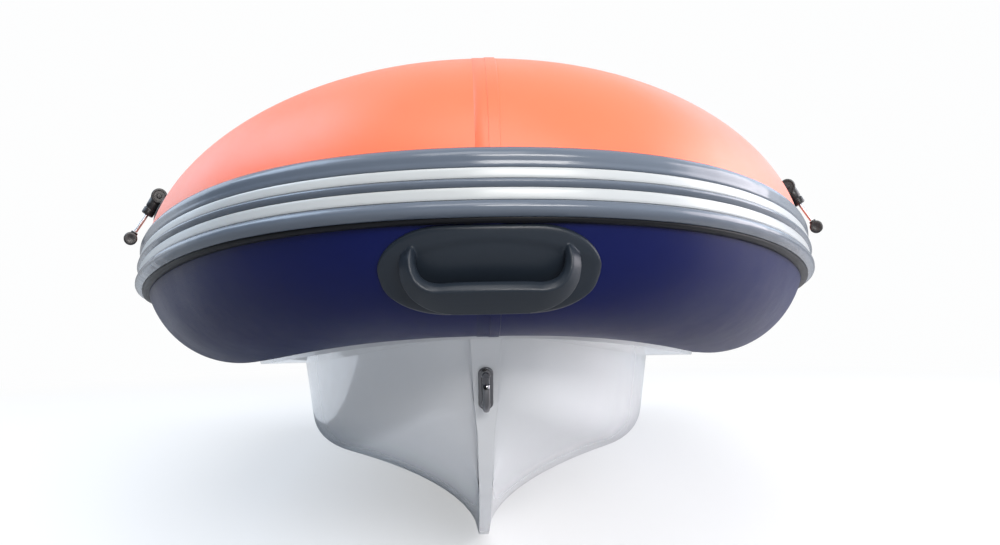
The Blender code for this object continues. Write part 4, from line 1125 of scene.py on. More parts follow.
# Turned profiles: pairs of the length along the axis and the radius, in millimetres.
FOOT = mm(0, 18, 3, 16.8, 8, 14, 17, 11)
HUB = mm(1.6, 0, 1.6, 6, 1.6, 11.5, 0.2, 12.7, 0, 14.6, 0.6, 16, 2, 16.8, 3.2, 17, 3.6, 16.4,
         6.6, 16.4, 7, 17, 31, 17, 31.4, 16.4, 34.4, 16.4, 34.8, 17, 36, 16.8, 37.4, 16, 38,
         14.6, 37.8, 12.7, 36.4, 11.5, 36.4, 0)
ARM = mm(0, 15, 20, 13.9, 29, 13.1, 30.5, 12.2, 32.5, 11.7, 33.5, 13, 34.5, 13.7, 36.5, 13.7,
         37.2, 12.8, 38, 12.8, 38.7, 13.6, 40.5, 13.6, 41.2, 12.7, 42, 12.7, 42.7, 13.4, 45,
         13.3, 46.8, 12.5, 47.8, 10.5, 48, 4.5)
BOLT = mm(0, 0, 0, 6.2, 0.6, 6.4, 1, 5.6, 2.6, 5.4, 3.4, 4.6, 3.6, 0)
NECK = mm(0, 0, 0, 6.6, 1, 7.6, 5, 7.6, 6, 7, 10, 6)
KNOB = mm(1.4, 0, 0.8, 6, 0, 11.2, 0.4, 13, 1.6, 14, 3, 14.2, 6.6, 14.2, 7.1, 13.6, 8.9, 13.6,
          9.4, 14.2, 13, 14.2, 14.4, 14, 15.6, 13, 16, 11.2, 15.2, 6, 14.6, 0)

# %% Rowlocks
def rowlock(side, side_name):
    """Base with hub and arm, steel pin and knob on one shoulder."""
    at = station(side * ROWLOCK_RUN)
    runs = sorted(side * (ROWLOCK_RUN + shift) for shift in (-ROWLOCK_SPREAD, ROWLOCK_SPREAD))
    base = oval_pad("rowlock_base_nylon_" + side_name, runs, HUB_ANGLE - BASE_HALF_ANGLE,
                    HUB_ANGLE + BASE_HALF_ANGLE, 0.0055, "black")
    centre, normal, along = skin_frame(at, HUB_ANGLE, HUB_HEIGHT)
    knob_at = skin_frame(at, KNOB_ANGLE, KNOB_HEIGHT)[0]
    axis = (knob_at - centre).normalized()
    length = (knob_at - centre).length
    foot = turned("foot", centre - normal * (HUB_HEIGHT - 0.003), normal, FOOT, "black")
    hub = turned("hub", centre - along * 0.019, along, HUB, "black")
    arm = turned("arm", centre, axis, ARM, "black")
    bolts = [turned("bolt", centre + along * (end * 0.0174), along * end, BOLT, "black", sides)
             for end, sides in ((-1.0, 24), (1.0, 6))]
    dress(join(base, foot, hub, arm, *bolts), "rowlock_base_" + side_name)
    shank = length - 0.0660
    dress(turned("rowlock_pin_steel_" + side_name, centre + axis * 0.0483, axis,
                 [(0.0, 0.0), (0.0, 0.0042), (0.0005, 0.00425), (shank, 0.00425),
                  (shank + 0.0004, 0.0)], "satin", 28), "rowlock_pin_" + side_name)
    neck = turned("rowlock_knob_nylon_" + side_name, centre + axis * (length - 0.0167), axis,
                  NECK, "black", 28)
    knob = turned("knob", knob_at - along * 0.008, along, KNOB, "black")
    dress(join(neck, knob), "rowlock_knob_" + side_name)


for side, side_name in SIDES:
    rowlock(side, side_name)
print("rowlocks done")

# %% [markdown]
# ## Repeats grown by Geometry Nodes
# Screws, ribs, stitches and non-slip studs are the same small shape many times over. Each kind
# gets one node tree with its sizes as named inputs. The tree puts the shape on points, turns the
# copies into real mesh and gives them their finish. What grows is then read back as a plain
# mesh, so that nothing stays live.

# %% Node tree helpers
def geometry_tree(name, **inputs):
    """Geometry tree; inputs are given with their kinds of socket, and end with a material."""
    tree = bpy.data.node_groups.new(name, "GeometryNodeTree")
    for label, kind in {"Geometry": "Geometry", **inputs, "Material": "Material"}.items():
        tree.interface.new_socket(name=label.replace("_", " "), in_out="INPUT",
                                  socket_type="NodeSocket" + kind)
    tree.interface.new_socket(name="Geometry", in_out="OUTPUT",
                              socket_type="NodeSocketGeometry")
    return tree, tree.nodes.new("NodeGroupInput").outputs, tree.nodes.new("NodeGroupOutput")


def vector(tree, **parts):
    """Vector socket put together from its parts."""
    return add_node(tree, "ShaderNodeCombineXYZ", **parts).outputs[0]


def instances(tree, shape, points, **settings):
    """Copies of a shape on points."""
    return add_node(tree, "GeometryNodeInstanceOnPoints", Points=points, Instance=shape,
                    **settings).outputs[0]


def painted(tree, geometry, material):
    """Geometry with its material."""
    return add_node(tree, "GeometryNodeSetMaterial", Geometry=geometry,
                    Material=material).outputs[0]


def real(tree, geometry):
    """Copies turned into mesh."""
    return add_node(tree, "GeometryNodeRealizeInstances", Geometry=geometry).outputs[0]


def send(tree, result, geometry, material):
    """Turn copies into mesh, give it its material and send it out."""
    feed(tree, result, {0: painted(tree, real(tree, geometry), material)})
    return tree


def along_x(tree, direction):
    """Rotation that turns local X to a direction."""
    return add_node(tree, "FunctionNodeAlignRotationToVector", settings={"axis": "X"},
                    Vector=direction).outputs[0]


def joined(tree, *parts):
    """Several geometries as one."""
    made = tree.nodes.new("GeometryNodeJoinGeometry")
    for part in parts:
        tree.links.new(part, made.inputs[0])
    return made.outputs[0]

# %% Growing on a carrier
def carrier(points, edges=(), faces=()):
    """Object that only carries the points, edges or faces that a tree grows on."""
    mesh = bpy.data.meshes.new("carrier")
    mesh.from_pydata([tuple(p) for p in points], list(edges), list(faces))
    return add_object("carrier", mesh)


def grow(name, base, tree, values, turn=None):
    """Run a tree on a carrier and keep the result as a plain mesh at the origin."""
    step = modify(base, "NODES", node_group=tree)
    for item in tree.interface.items_tree:
        if item.in_out == "INPUT" and item.name in values:
            step[item.identifier] = values[item.name]
    mesh = evaluated_mesh(base)
    bpy.data.objects.remove(base, do_unlink=True)
    if turn is not None:
        mesh.transform(turn)
    return shade(add_object(name, mesh), 40.0)


def frame_matrix(origin, out, along=ACROSS):
    """Matrix that puts local Z on a direction out of a surface and local X along it."""
    out = out.normalized()
    along = (along - out * along.dot(out)).normalized()
    turn = Matrix((along, out.cross(along), out)).transposed().to_4x4()
    turn.translation = origin
    return turn

# %% Tree of screw heads
def screw_tree():
    """Domed heads on every point, each with a black disc on top: painted shade in place of a
    recessed drive.
    """
    tree, given, result = geometry_tree("screw_heads", Radius="Float", Height="Float",
                                        Hole="Material")
    radius, height = given["Radius"], given["Height"]

    def share(value, part):
        return calculate(tree, "MULTIPLY", value, part)

    def raised(shape, up):
        return add_node(tree, "GeometryNodeTransform", Geometry=shape.outputs["Mesh"],
                        Translation=vector(tree, Z=up)).outputs[0]

    shoulder = share(radius, 0.80)
    base = add_node(tree, "GeometryNodeMeshCone", Vertices=20, Radius_Top=shoulder,
                    Radius_Bottom=radius, Depth=share(height, 0.6))
    dome = add_node(tree, "GeometryNodeMeshCone", Vertices=20, Radius_Top=share(radius, 0.5),
                    Radius_Bottom=shoulder, Depth=share(height, 0.4))
    # Painted shade: the drive recess is not cut; a black disc on the dome stands for its shadow.
    shade_disc = add_node(tree, "GeometryNodeMeshCylinder", Vertices=6, Radius=share(radius, 0.32),
                    Depth=share(height, 0.2))
    head = joined(tree, raised(dome, share(height, 0.6)), base.outputs["Mesh"])
    whole = joined(tree, painted(tree, head, given["Material"]),
                   painted(tree, raised(shade_disc, share(height, 0.92)), given["Hole"]))
    feed(tree, result, {0: real(tree, instances(tree, whole, given["Geometry"]))})
    return tree


SCREWS = screw_tree()


def corner_spots(x, y):
    """The four corners of a rectangle."""
    return [(sx * x, sy * y) for sx in (1, -1) for sy in (1, -1)]


def screws(name, origin, out, spots, radius=0.0024, height=0.0008, body="boat"):
    """Screw heads at (across the boat, up or aft) places on a flat face."""
    # The black rubber given for the drive is painted shade, a dark disc in place of the recess.
    values = {"Radius": radius, "Height": height, "Material": PAINTS["steel"],
              "Hole": PAINTS["lip"]}
    made = grow(name, carrier([(x, y, 0.0) for x, y in spots]), SCREWS, values,
                frame_matrix(origin, out))
    return dress(made, body=body, slot="steel_polished")

# %% Tree of studs inside an outline
def stud_tree():
    """Low round studs on a staggered grid, kept where the grid lies over the carrier's face."""
    tree, given, result = geometry_tree("stud_field", Width="Float", Length="Float",
                                        Columns="Int", Rows="Int", Radius="Float",
                                        Height="Float")
    grid = add_node(tree, "GeometryNodeMeshGrid", Size_X=given["Width"],
                    Size_Y=given["Length"], Vertices_X=given["Columns"],
                    Vertices_Y=given["Rows"])
    index = tree.nodes.new("GeometryNodeInputIndex").outputs[0]
    odd = calculate(tree, "MODULO", calculate(tree, "MODULO", index, given["Rows"]), 2.0)
    pitch = calculate(tree, "DIVIDE", given["Width"], given["Columns"])
    shift = calculate(tree, "MULTIPLY", calculate(tree, "SUBTRACT", odd, 0.5),
                      calculate(tree, "MULTIPLY", pitch, 0.5))
    moved = add_node(tree, "GeometryNodeSetPosition", Geometry=grid.outputs["Mesh"],
                     Offset=vector(tree, X=shift))
    spot = tree.nodes.new("GeometryNodeInputPosition").outputs[0]
    above = add_node(tree, "ShaderNodeVectorMath", spot, (0.0, 0.0, 0.5),
                     settings={"operation": "ADD"})
    over = add_node(tree, "GeometryNodeRaycast", Target_Geometry=given["Geometry"],
                    Source_Position=above.outputs[0])
    stud = add_node(tree, "GeometryNodeMeshCone", Vertices=10, Depth=given["Height"],
                    Radius_Top=calculate(tree, "MULTIPLY", given["Radius"], 0.7),
                    Radius_Bottom=given["Radius"])
    field = instances(tree, stud.outputs["Mesh"], moved.outputs[0],
                      Selection=over.outputs["Is Hit"])
    return send(tree, result, field, given["Material"])


STUDS = stud_tree()
ROW_SHARE = 0.866


def studs(name, outline, up, paint, pitch, radius, height, body="boat"):
    """Field of studs on a level face, inside an outline of (x, aft)."""
    corners = [place(x, aft, up) for x, aft in outline]
    low, high = (Vector([side(c[i] for c in corners) for i in range(3)]) for side in (min, max))
    centre = (low + high) / 2.0
    width, length = high.x - low.x, high.y - low.y
    values = {"Width": width, "Length": length, "Columns": max(2, round(width / pitch)),
              "Rows": max(2, round(length / (pitch * ROW_SHARE))), "Radius": radius,
              "Height": height, "Material": PAINTS[paint]}
    face = carrier([c - centre for c in corners], faces=[tuple(range(len(corners)))])
    return dress(grow(name, face, STUDS, values, Matrix.Translation(centre)), body=body)

# %% Tree of ribs in a ring
def rib_tree():
    """Ribs round a ring, each one pointing outwards."""
    tree, given, result = geometry_tree("rib_ring", Count="Int", Ring_Radius="Float",
                                        Width="Float", Depth="Float", Height="Float")
    ring = add_node(tree, "GeometryNodeCurvePrimitiveCircle", Resolution=given["Count"],
                    Radius=given["Ring Radius"])
    spots = add_node(tree, "GeometryNodeCurveToPoints", settings={"mode": "EVALUATED"},
                     Curve=ring.outputs["Curve"])
    size = vector(tree, X=given["Depth"], Y=given["Width"], Z=given["Height"])
    block = add_node(tree, "GeometryNodeMeshCube", Size=size)
    spot = tree.nodes.new("GeometryNodeInputPosition").outputs[0]
    row = instances(tree, block.outputs["Mesh"], spots.outputs["Points"],
                    Rotation=along_x(tree, spot))
    return send(tree, result, row, given["Material"])


RIBS = rib_tree()


def ribs(name, origin, axis, paint, count, radius, width, depth, height):
    """Ring of grip ribs round an axis."""
    values = {"Count": count, "Ring Radius": radius, "Width": width, "Depth": depth,
              "Height": height, "Material": PAINTS[paint]}
    return dress(grow(name, carrier([(0, 0, 0)]), RIBS, values,
                      frame_matrix(origin, axis, axis.normalized().orthogonal())))

# %% Tree of hinge knuckles
def knuckle_tree():
    """Short barrels in a row along X."""
    tree, given, result = geometry_tree("hinge_knuckles", Count="Int", First="Float",
                                        Pitch="Float", Radius="Float", Length="Float")
    row = add_node(tree, "GeometryNodeMeshLine", Count=given["Count"],
                   Start_Location=vector(tree, X=given["First"]),
                   Offset=vector(tree, X=given["Pitch"]))
    barrel = add_node(tree, "GeometryNodeMeshCylinder", Vertices=24, Radius=given["Radius"],
                      Depth=given["Length"])
    lying = add_node(tree, "GeometryNodeTransform", Geometry=barrel.outputs["Mesh"],
                     Rotation=(0.0, pi / 2.0, 0.0))
    barrels = instances(tree, lying.outputs[0], row.outputs[0])
    return send(tree, result, barrels, given["Material"])


KNUCKLES = knuckle_tree()

# %% Tree of stitches along a line
def stitch_tree():
    """Short threads that lie along a line."""
    tree, given, result = geometry_tree("stitch_line", Spacing="Float", Thread_Length="Float",
                                        Thread_Radius="Float")
    curve = add_node(tree, "GeometryNodeMeshToCurve", Mesh=given["Geometry"])
    spots = add_node(tree, "GeometryNodeCurveToPoints", settings={"mode": "LENGTH"},
                     Curve=curve.outputs["Curve"], Length=given["Spacing"])
    thread = add_node(tree, "GeometryNodeMeshUVSphere", Segments=6, Rings=5, Radius=1.0)
    size = vector(tree, X=calculate(tree, "MULTIPLY", given["Thread Length"], 0.5),
                  Y=given["Thread Radius"], Z=given["Thread Radius"])
    row = instances(tree, thread.outputs["Mesh"], spots.outputs["Points"],
                    Rotation=along_x(tree, spots.outputs["Tangent"]), Scale=size)
    return send(tree, result, row, given["Material"])


STITCHES = stitch_tree()
STITCH = {"Spacing": 0.0065, "Thread Length": 0.0046, "Thread Radius": 0.0006}


def stitches(name, points, closed=False, body="boat"):
    """Row of thread stitches along a line of points."""
    edges = [(i, i + 1) for i in range(len(points) - 1)]
    if closed:
        edges.append((len(points) - 1, 0))
    values = {**STITCH, "Material": PAINTS["thread"]}
    return dress(grow(name, carrier(points, edges), STITCHES, values), body=body)


print("trees", [t.name for t in (SCREWS, STUDS, RIBS, KNUCKLES, STITCHES)])

# %% [markdown]
# ## Cones and valves
# The tube ends in a cone at each side of the stern, closed by a rubber cap with moulded ribs.
# Inflation valves sit inboard, where knees and ropes don't catch them: a flange glued to the
# fabric and a screwed cap with grip ribs.

# %% Cone caps
CAP_EDGE = CONE_RADIUS[-1] + 0.006
CAP_SHELL = [(up, CAP_EDGE - less) for up, less in mm(
    0, 1.5, 1.5, 0, 10, 0, 11.8, 1.2, 12.5, 3.5, 18, 6.2, 24, 10, 30, 14.5, 36, 20, 42, 26.2,
    47, 32.5, 50, 38, 51.2, 40)]
CAP_TIP = mm(52.5, 32, 56, 27, 60, 20.5, 61.5, 16, 61.8, 12, 60.6, 10, 60.4, 0)
for side, side_name in SIDES:
    base = place(side * HALF_SPACING, CONE_AFT[-1] + GAP, sheer(CONE_AFT[-1]))
    dress(turned("cone_cap_rubber_" + side_name, base, AFT, [(0.0, 0.0)] + CAP_SHELL + CAP_TIP,
                 "cap", 64), "cone_cap_" + side_name)
    ribs("cone_cap_ribs_" + side_name, base + AFT * 0.0055, AFT, "cap", count=48,
         radius=CAP_EDGE + 0.0002, width=0.0040, depth=0.0016, height=0.0075)
print("cone caps done")

# %% Valves
VALVE = mm(-1, 0, -1, 29, 0.6, 29.2, 2.2, 28.8, 3.4, 27.2, 3.8, 23, 4, 20.6, 4.6, 20, 8.2, 19.8,
           9.4, 19, 10, 17.4, 9.9, 12, 9.2, 11.2, 9.2, 0)
TURN_BAR = mm(0, 0, 0, 1.2, 0.6, 1.8, 20.4, 1.8, 21, 1.2, 21, 0)


def valve(node, run, angle):
    """Flange, body and ribbed cap of an inflation valve."""
    foot, normal, along = skin_frame(station(run), angle, 0.0004)
    dress(turned(node + "_nylon", foot, normal, VALVE, "black", 48), node)
    ribs(node + "_grip", foot + normal * 0.0064, normal, "black", count=28, radius=0.0200,
         width=0.0016, depth=0.0014, height=0.0036)
    dress(turned(node + "_turn_bar", foot + normal * 0.0090 - along * 0.0105, along, TURN_BAR,
                 "black", 16))


valve("valve_port", run_at_aft(2.58), 150.0)
valve("valve_starboard", -run_at_aft(2.58), 150.0)
valve("valve_bow", bow_run(0.62), 140.0)
print("valves done")

# %% [markdown]
# ## Grab handles inside the tubes
# Four small moulded handles are glued to the inboard faces, two a side. They are made as the
# bow handle is: a pad and a bar melted together.

# %% Grab handles
GRAB_HALF, GRAB_GRIP_HALF, GRAB_HEIGHT, GRAB_ANGLE = 0.11, 0.076, 0.0285, 149.0
for side, side_name in SIDES:
    for place_name, aft in (("fore", 1.42), ("aft", 2.42)):
        name = "grab_handle_" + side_name + "_" + place_name
        ends = sorted(side * run_at_aft(aft + shift) for shift in (-GRAB_HALF, GRAB_HALF))
        pad = oval_pad(name + "_moulding", ends, GRAB_ANGLE - 10.0, GRAB_ANGLE + 10.0, 0.0046,
                       "handle", edge=0.18)
        spots = []
        for t in (i / 40.0 for i in range(41)):
            height = GRAB_HEIGHT * min(1.0, sin(pi * t) * 1.55) ** 0.8 + 0.001
            run = side * run_at_aft(aft - GRAB_GRIP_HALF + 2.0 * GRAB_GRIP_HALF * t)
            spots.append(skin_frame(station(run), GRAB_ANGLE, height)[0])
        fuse(pad, bent_wire("grip", spots, 0.0088, "handle", 18), voxel=0.0016, rounds=5)
        dress(pad, name)
print("grab handles done")

# %% [markdown]
# ## Transom
# The transom board closes the stern between the tubes. It is thick plywood in glass fibre, so
# its edges are rounded all round. The outboard engine clamps over the lowered middle, where two
# aluminium pads spread the pressure. Bolts hold the pads, and the stern eyes take a towing or
# lifting line.

# %% Outline of the transom
TRANSOM_TOP_UP, SHOULDER_UP = -0.06, 0.108
PAD_HEIGHT, PAD_DEPTH, PLATE_EDGE = 0.106, 0.006, 0.0012


def soften(target, width, segments=3, limit=60.0, angle=45.0):
    """Round the sharp edges of a piece."""
    modify(target, "BEVEL", width=width, segments=segments, limit_method="ANGLE",
           angle_limit=radians(limit))
    return shade(apply_modifiers(target), angle)


def transom_board():
    """Board with its outline lying on the tubes, its edges rounded."""
    at = station(run_at_aft(TRANSOM_AFT))
    rim_up = skin_point(at, BED_ANGLES[0], GAP).z - AXIS_Z + 0.0006
    side = [skin_point(at, BED_ANGLES[0] - 3.0 * i, 0.0004) for i in range(1, 22)]
    outline = [(HALF_SPACING - RIM_INSET - 0.002, rim_up)] + [(p.x, p.z - AXIS_Z) for p in side]
    outline += [(outline[-1][0] - 0.016, SHOULDER_UP), (0.30, SHOULDER_UP),
                (0.285, SHOULDER_UP - 0.004), (0.274, SHOULDER_UP - 0.018),
                (0.226, TRANSOM_TOP_UP + 0.020), (0.214, TRANSOM_TOP_UP + 0.004),
                (0.196, TRANSOM_TOP_UP)]
    outline += [(-x, up) for x, up in reversed(outline)]
    board = solid("transom_board", [[place(x, aft, up) for x, up in outline]
                                    for aft in (COCKPIT_BACK, TRANSOM_AFT)], "gelcoat")
    return soften(board, 0.006, 4, 50.0, 40.0)

# %% Rounded plates
def plate_solid(name, turn, width, height, levels, corner, paint):
    """Solid with round corners over a face; levels are (growth, lift off the face)."""
    ring = [(sx * (width / 2 - corner), sy * (height / 2 - corner), radians(start + 90.0 * i / 8))
            for sx, sy, start in ((1, 1, 0), (-1, 1, 90), (-1, -1, 180), (1, -1, 270))
            for i in range(9)]
    rings = [[turn @ Vector((x + (corner + more) * cos(t), y + (corner + more) * sin(t), lift))
              for x, y, t in ring] for more, lift in levels]
    return solid(name, rings, paint)


def rounded_plate(name, origin, out, width, height, thick, corner, paint, *nodes, body="boat"):
    """Flat plate with rounded corners and a soft front edge, lying on a face."""
    e = PLATE_EDGE
    levels = ((0.0, 0.0), (0.0, thick - e), (-e * 0.3, thick - e * 0.3), (-e, thick))
    return dress(plate_solid(name, frame_matrix(origin, out), width, height, levels, corner,
                             paint), *nodes, body=body)

# %% Transom, pads and stern eyes
dress(transom_board(), "transom")
pad_up = TRANSOM_TOP_UP - 0.004 - PAD_HEIGHT / 2.0
for name, aft, out, node in (
        ("motor_pad_plate", TRANSOM_AFT + GAP, AFT, "transom_pad_outer"),
        ("clamp_pad_plate", COCKPIT_BACK - GAP, -AFT, "transom_pad_inner")):
    at = place(0.0, aft, pad_up)
    rounded_plate(name, at, out, 0.28, PAD_HEIGHT, PAD_DEPTH, 0.010, "aluminium", node)
    screws(name + "_bolts", at + out * PAD_DEPTH, out,
           corner_spots(0.128, 0.041) + [(0, 0.041), (0, -0.041)], radius=0.0052,
           height=0.0024)
for side, side_name in SIDES:
    node = "stern_eye_" + side_name
    eye_fitting(node + "_fitting", node, place(side * 0.32, TRANSOM_AFT + GAP, -0.085), AFT,
                UP, spacing=0.052, reach=0.038, wire=0.004, plate_width=0.028)

# %% Drain plug
PLUG = mm(0, 0, 0, 19.8, 0.8, 20, 2.8, 19.8, 4, 18.4, 4.2, 13.4, 5, 12.8, 12.6, 12.2, 13.8, 11.2,
          14, 6, 12.8, 5.2, 12.6, 0)
plug_at = place(0.06, TRANSOM_AFT + GAP, -0.24)
dress(turned("drain_plug_nylon", plug_at, AFT, PLUG, "black", 40), "drain_plug")
ribs("drain_plug_grip", plug_at + AFT * 0.0088, AFT, "black", count=20, radius=0.0125,
     width=0.0016, depth=0.0012, height=0.0056)
print("transom done")

# %% [markdown]
# ## Deck, mats and sealant
# The deck is a light grey moulding. Two foam mats with raised studs keep wet feet from slipping.
# A bead of sealant closes the joint round the deck. The studs are one low shape on a grid, so
# they come from the node tree, which keeps only those that lie over the mat.

# %% Outlines and slabs
def round_outline(outline, radius, steps=7):
    """Outline of (x, aft) with its sharp corners rounded."""
    made = []
    for i, here in enumerate(outline):
        before, corner = Vector(outline[i - 1]), Vector(here)
        after = Vector(outline[(i + 1) % len(outline)])
        turn = abs((corner - before).angle_signed(after - corner, 0.0))
        if turn < radians(30.0):
            made.append(tuple(corner))
            continue
        reach = radius * sin(turn / 2.0) / cos(turn / 2.0)
        arc = bend(corner + (before - corner).normalized() * reach, corner,
                   corner + (after - corner).normalized() * reach, steps)
        made += [tuple(p) for p in arc]
    return made


def inner_round(inset, front, back, radius):
    """Outline between the tubes with its corners rounded."""
    return round_outline(inner_outline(inset, front, back), radius)


def rectangle(half, front, back, radius, steps=7):
    """Outline of a rectangle across the boat, its corners rounded."""
    return round_outline([(half, front), (half, back), (-half, back), (-half, front)], radius,
                         steps)


def slab(name, outline, low, high, edge, paint, segments=3):
    """Flat body over an outline, its top and bottom edges rounded."""
    return soften(prism(name, outline, low, high, paint), edge, segments)


def loop_cord(name, points, radius, paint, sides=12):
    """Closed cord along a nearly level loop of points."""
    rings = []
    for i, point in enumerate(points):
        ahead = (points[(i + 1) % len(points)] - points[i - 1]).normalized()
        across = ahead.cross(UP).normalized()
        rings.append(circle(point, across, ahead.cross(across), radius, sides))
    faces = grid_faces(len(rings), sides, closed_rows=True, closed_columns=True)
    return new_piece(name, [p for ring in rings for p in ring], faces, paint, angle=60.0)

# %% Deck and mats
DECK_TOP = FLOOR_UP + 0.0163
deck_outline = inner_outline(RIM_INSET + 0.006, COCKPIT_FRONT + 0.003, COCKPIT_BACK - 0.003)
dress(slab("deck_moulding", deck_outline, FLOOR_UP + GAP, DECK_TOP, 0.004, "liner"),
      "deck_liner")
bead = [place(x, aft, DECK_TOP + 0.0008) for x, aft in inner_round(
    RIM_INSET + 0.0075, COCKPIT_FRONT + 0.0045, COCKPIT_BACK - 0.0045, 0.010)]
dress(loop_cord("deck_sealant", bead, 0.0034, "sealant", 10))
for name, front, back in (("fore", 1.22, 1.74), ("aft", 2.22, 2.70)):
    dress(slab("foam_mat_" + name, inner_round(RIM_INSET + 0.045, front, back, 0.020),
               DECK_TOP + GAP, DECK_TOP + 0.0063, 0.0018, "mat"), "deck_mat_" + name)
    studs("mat_studs_" + name, inner_outline(RIM_INSET + 0.060, front + 0.015, back - 0.015),
          DECK_TOP + 0.0061, "mat", pitch=0.0165, radius=0.0048, height=0.0014)
print("deck and mats done")

# %% [markdown]
# ## Hinges and latches
# Both lids turn on long strip hinges. A strip hinge has barrels by turns on either leaf, with a
# pin through them, so the barrels of the lid's leaf ride with the lid. Each lid is held by a
# small catch.

# %% Strip hinge
KNUCKLE_RADIUS, KNUCKLE_LENGTH = 0.0040, 0.0112
BOX_LEAF = mm(-7.7, -30, -6.1, -30, -6.1, -6, -3.4, -2.8, -4.6, -1.4, -7.7, -4.6)
LID_LEAF = mm(-0.4, 4, -7.2, 13, -9.6, 16, -29, 16, -29, 14.6, -10.4, 14.6, -8.5, 11.8, -2.4,
              3.4)
HINGE_SCREW = (0.0030, 0.0010)


def strip_hinge(node, aft, up, half, lid_body):
    """Two leaves and their barrels; the lid's half rides with the lid."""
    for name, profile, reach, nodes, body in (("_box_leaf", BOX_LEAF, half, (node,), "boat"),
                                              ("_lid_leaf", LID_LEAF, half - 0.002, (),
                                               lid_body)):
        leaf = solid(node + name, [[place(x, aft + a, up + u) for a, u in profile]
                                   for x in (-reach, reach)], "steel")
        dress(leaf, *nodes, body=body)
    count = int(half / KNUCKLE_LENGTH / 1.02)
    pitch = 2.0 * half / count
    for name, first, body in (("_box_barrels", -half + pitch / 4.0, "boat"),
                              ("_lid_barrels", -half + pitch * 0.75, lid_body)):
        values = {"Count": count, "First": first, "Pitch": pitch, "Radius": KNUCKLE_RADIUS,
                  "Length": pitch / 2.0 - 0.0004, "Material": PAINTS["steel"]}
        dress(grow(node + name, carrier([(0, 0, 0)]), KNUCKLES, values,
                   Matrix.Translation(place(0.0, aft, up))), body=body)
    pin_end = 2 * half + 0.004
    dress(turned(node + "_pin", place(-half - 0.002, aft, up), ACROSS,
                 [(0.0, 0.0), (0.0, 0.0016), (0.0008, 0.0022), (pin_end - 0.0008, 0.0022),
                  (pin_end, 0.0016), (pin_end, 0.0)], "steel", 16))
    row = [(-half + 0.02 + (2 * half - 0.04) * i / 7, 0.0) for i in range(8)]
    screws(node + "_box_screws", place(0.0, aft - 0.0061, up - 0.020), AFT, row, *HINGE_SCREW)
    screws(node + "_lid_screws", place(0.0, aft - 0.0215, up + 0.0160), UP, row, *HINGE_SCREW,
           lid_body)

# %% [markdown]
# ## Bow locker
# A low box under the bow keeps the anchor and its line. Its lid has a field of moulded studs,
# because the crew steps on it to board over the bow. A soft seal lies round the rim.

# %% Boxes and seals
LOCKER_FRONT, LOCKER_BACK, LOCKER_INSET, LOCKER_TOP = 0.66, 1.13, 0.236, 0.066
WALL, LID_THICKNESS, BOX_FLOOR, SEAL_RADIUS = 0.012, 0.014, 0.010, 0.0034


def open_box(name, outer, hollow, low, top):
    """Box without a lid, its edges rounded."""
    made = prism(name, outer, low, top, "liner")
    cut(made, prism("hollow", hollow, low + BOX_FLOOR, top + 0.1, "liner"))
    return soften(made, 0.003)


def rim_seal(name, outline, top):
    """Soft seal just inside the rim of a box."""
    loop = [place(x, aft, top - 0.0036) for x, aft in outline]
    return dress(loop_cord(name, loop, SEAL_RADIUS, "lip"))


def locker_outline(inset, front, back, radius):
    """Rounded outline that lies so far inside the locker's own, front and back too."""
    return inner_round(LOCKER_INSET + inset, LOCKER_FRONT + front, LOCKER_BACK - back, radius)

# %% Bow locker
dress(open_box("bow_locker_moulding", locker_outline(0.0, 0.0, 0.0, 0.014),
               locker_outline(WALL, WALL, WALL, 0.010), FOREDECK_UP + GAP, LOCKER_TOP),
      "bow_locker")
rim = WALL + 0.003
rim_seal("bow_locker_seal", locker_outline(rim, rim, rim, 0.010), LOCKER_TOP)

# %% Lid of the bow locker
lid_low = LOCKER_TOP + GAP
lid_top = lid_low + LID_THICKNESS
dress(slab("bow_locker_lid_moulding", locker_outline(-0.006, -0.006, 0.001, 0.016), lid_low,
           lid_top, 0.0045, "liner", 4), "bow_locker_lid", body="bow_lid")
dress(slab("bow_locker_tread", locker_outline(0.034, 0.085, 0.045, 0.018), lid_top - 0.001,
           lid_top + 0.0012, 0.0008, "tread", 2), body="bow_lid")
studs("bow_locker_tread_studs", inner_outline(LOCKER_INSET + 0.044, LOCKER_FRONT + 0.095,
                                              LOCKER_BACK - 0.055),
      lid_top + 0.0010, "tread", pitch=0.0150, radius=0.0040, height=0.0012, body="bow_lid")
strip_hinge("bow_locker_hinge", LOCKER_BACK + 0.008, LOCKER_TOP, 0.16, "bow_lid")

# %% Catch of the bow locker
catch = place(0.0, LOCKER_FRONT + 0.040, lid_top + GAP)
rounded_plate("bow_locker_catch_plate", catch, UP, 0.044, 0.040, 0.0028, 0.007, "black",
              "bow_locker_latch", body="bow_lid")
dress(turned("bow_locker_catch_ring", catch + UP * 0.0026, UP,
             mm(0, 0, 0, 15, 1.2, 15, 2, 14.2, 2.2, 12.8, 1.2, 12, 1, 0), "steel", 40),
      body="bow_lid")
rounded_plate("bow_locker_catch_turn", catch + UP * 0.0034, UP, 0.022, 0.0056, 0.0042, 0.0026,
              "black", body="bow_lid")
screws("bow_locker_catch_screws", catch + UP * 0.0028, UP, corner_spots(0.0170, 0.0150),
       body="bow_lid")
print("bow locker done")

# %% [markdown]
# ## Seat box and its cushion
# The helm's seat is a moulded box that is screwed to the deck through a flange. Sunk panels
# stiffen its thin walls. Its lid carries a padded cushion of vinyl over foam.

# %% Seat box
SEAT_HALF, SEAT_FRONT, SEAT_BACK, SEAT_TOP = 0.26, 1.80, 2.16, 0.10
SEAT_LOW = DECK_TOP + GAP
SEAT_MID = (SEAT_FRONT + SEAT_BACK) / 2.0
SUNK_LEVELS = ((-0.0034, -0.0034), (0.0, 0.0), (0.01, 0.010))


def seat_outline(inset, radius):
    """Rounded outline that lies so far inside the seat box's own."""
    return rectangle(SEAT_HALF - inset, SEAT_FRONT + inset, SEAT_BACK - inset, radius)


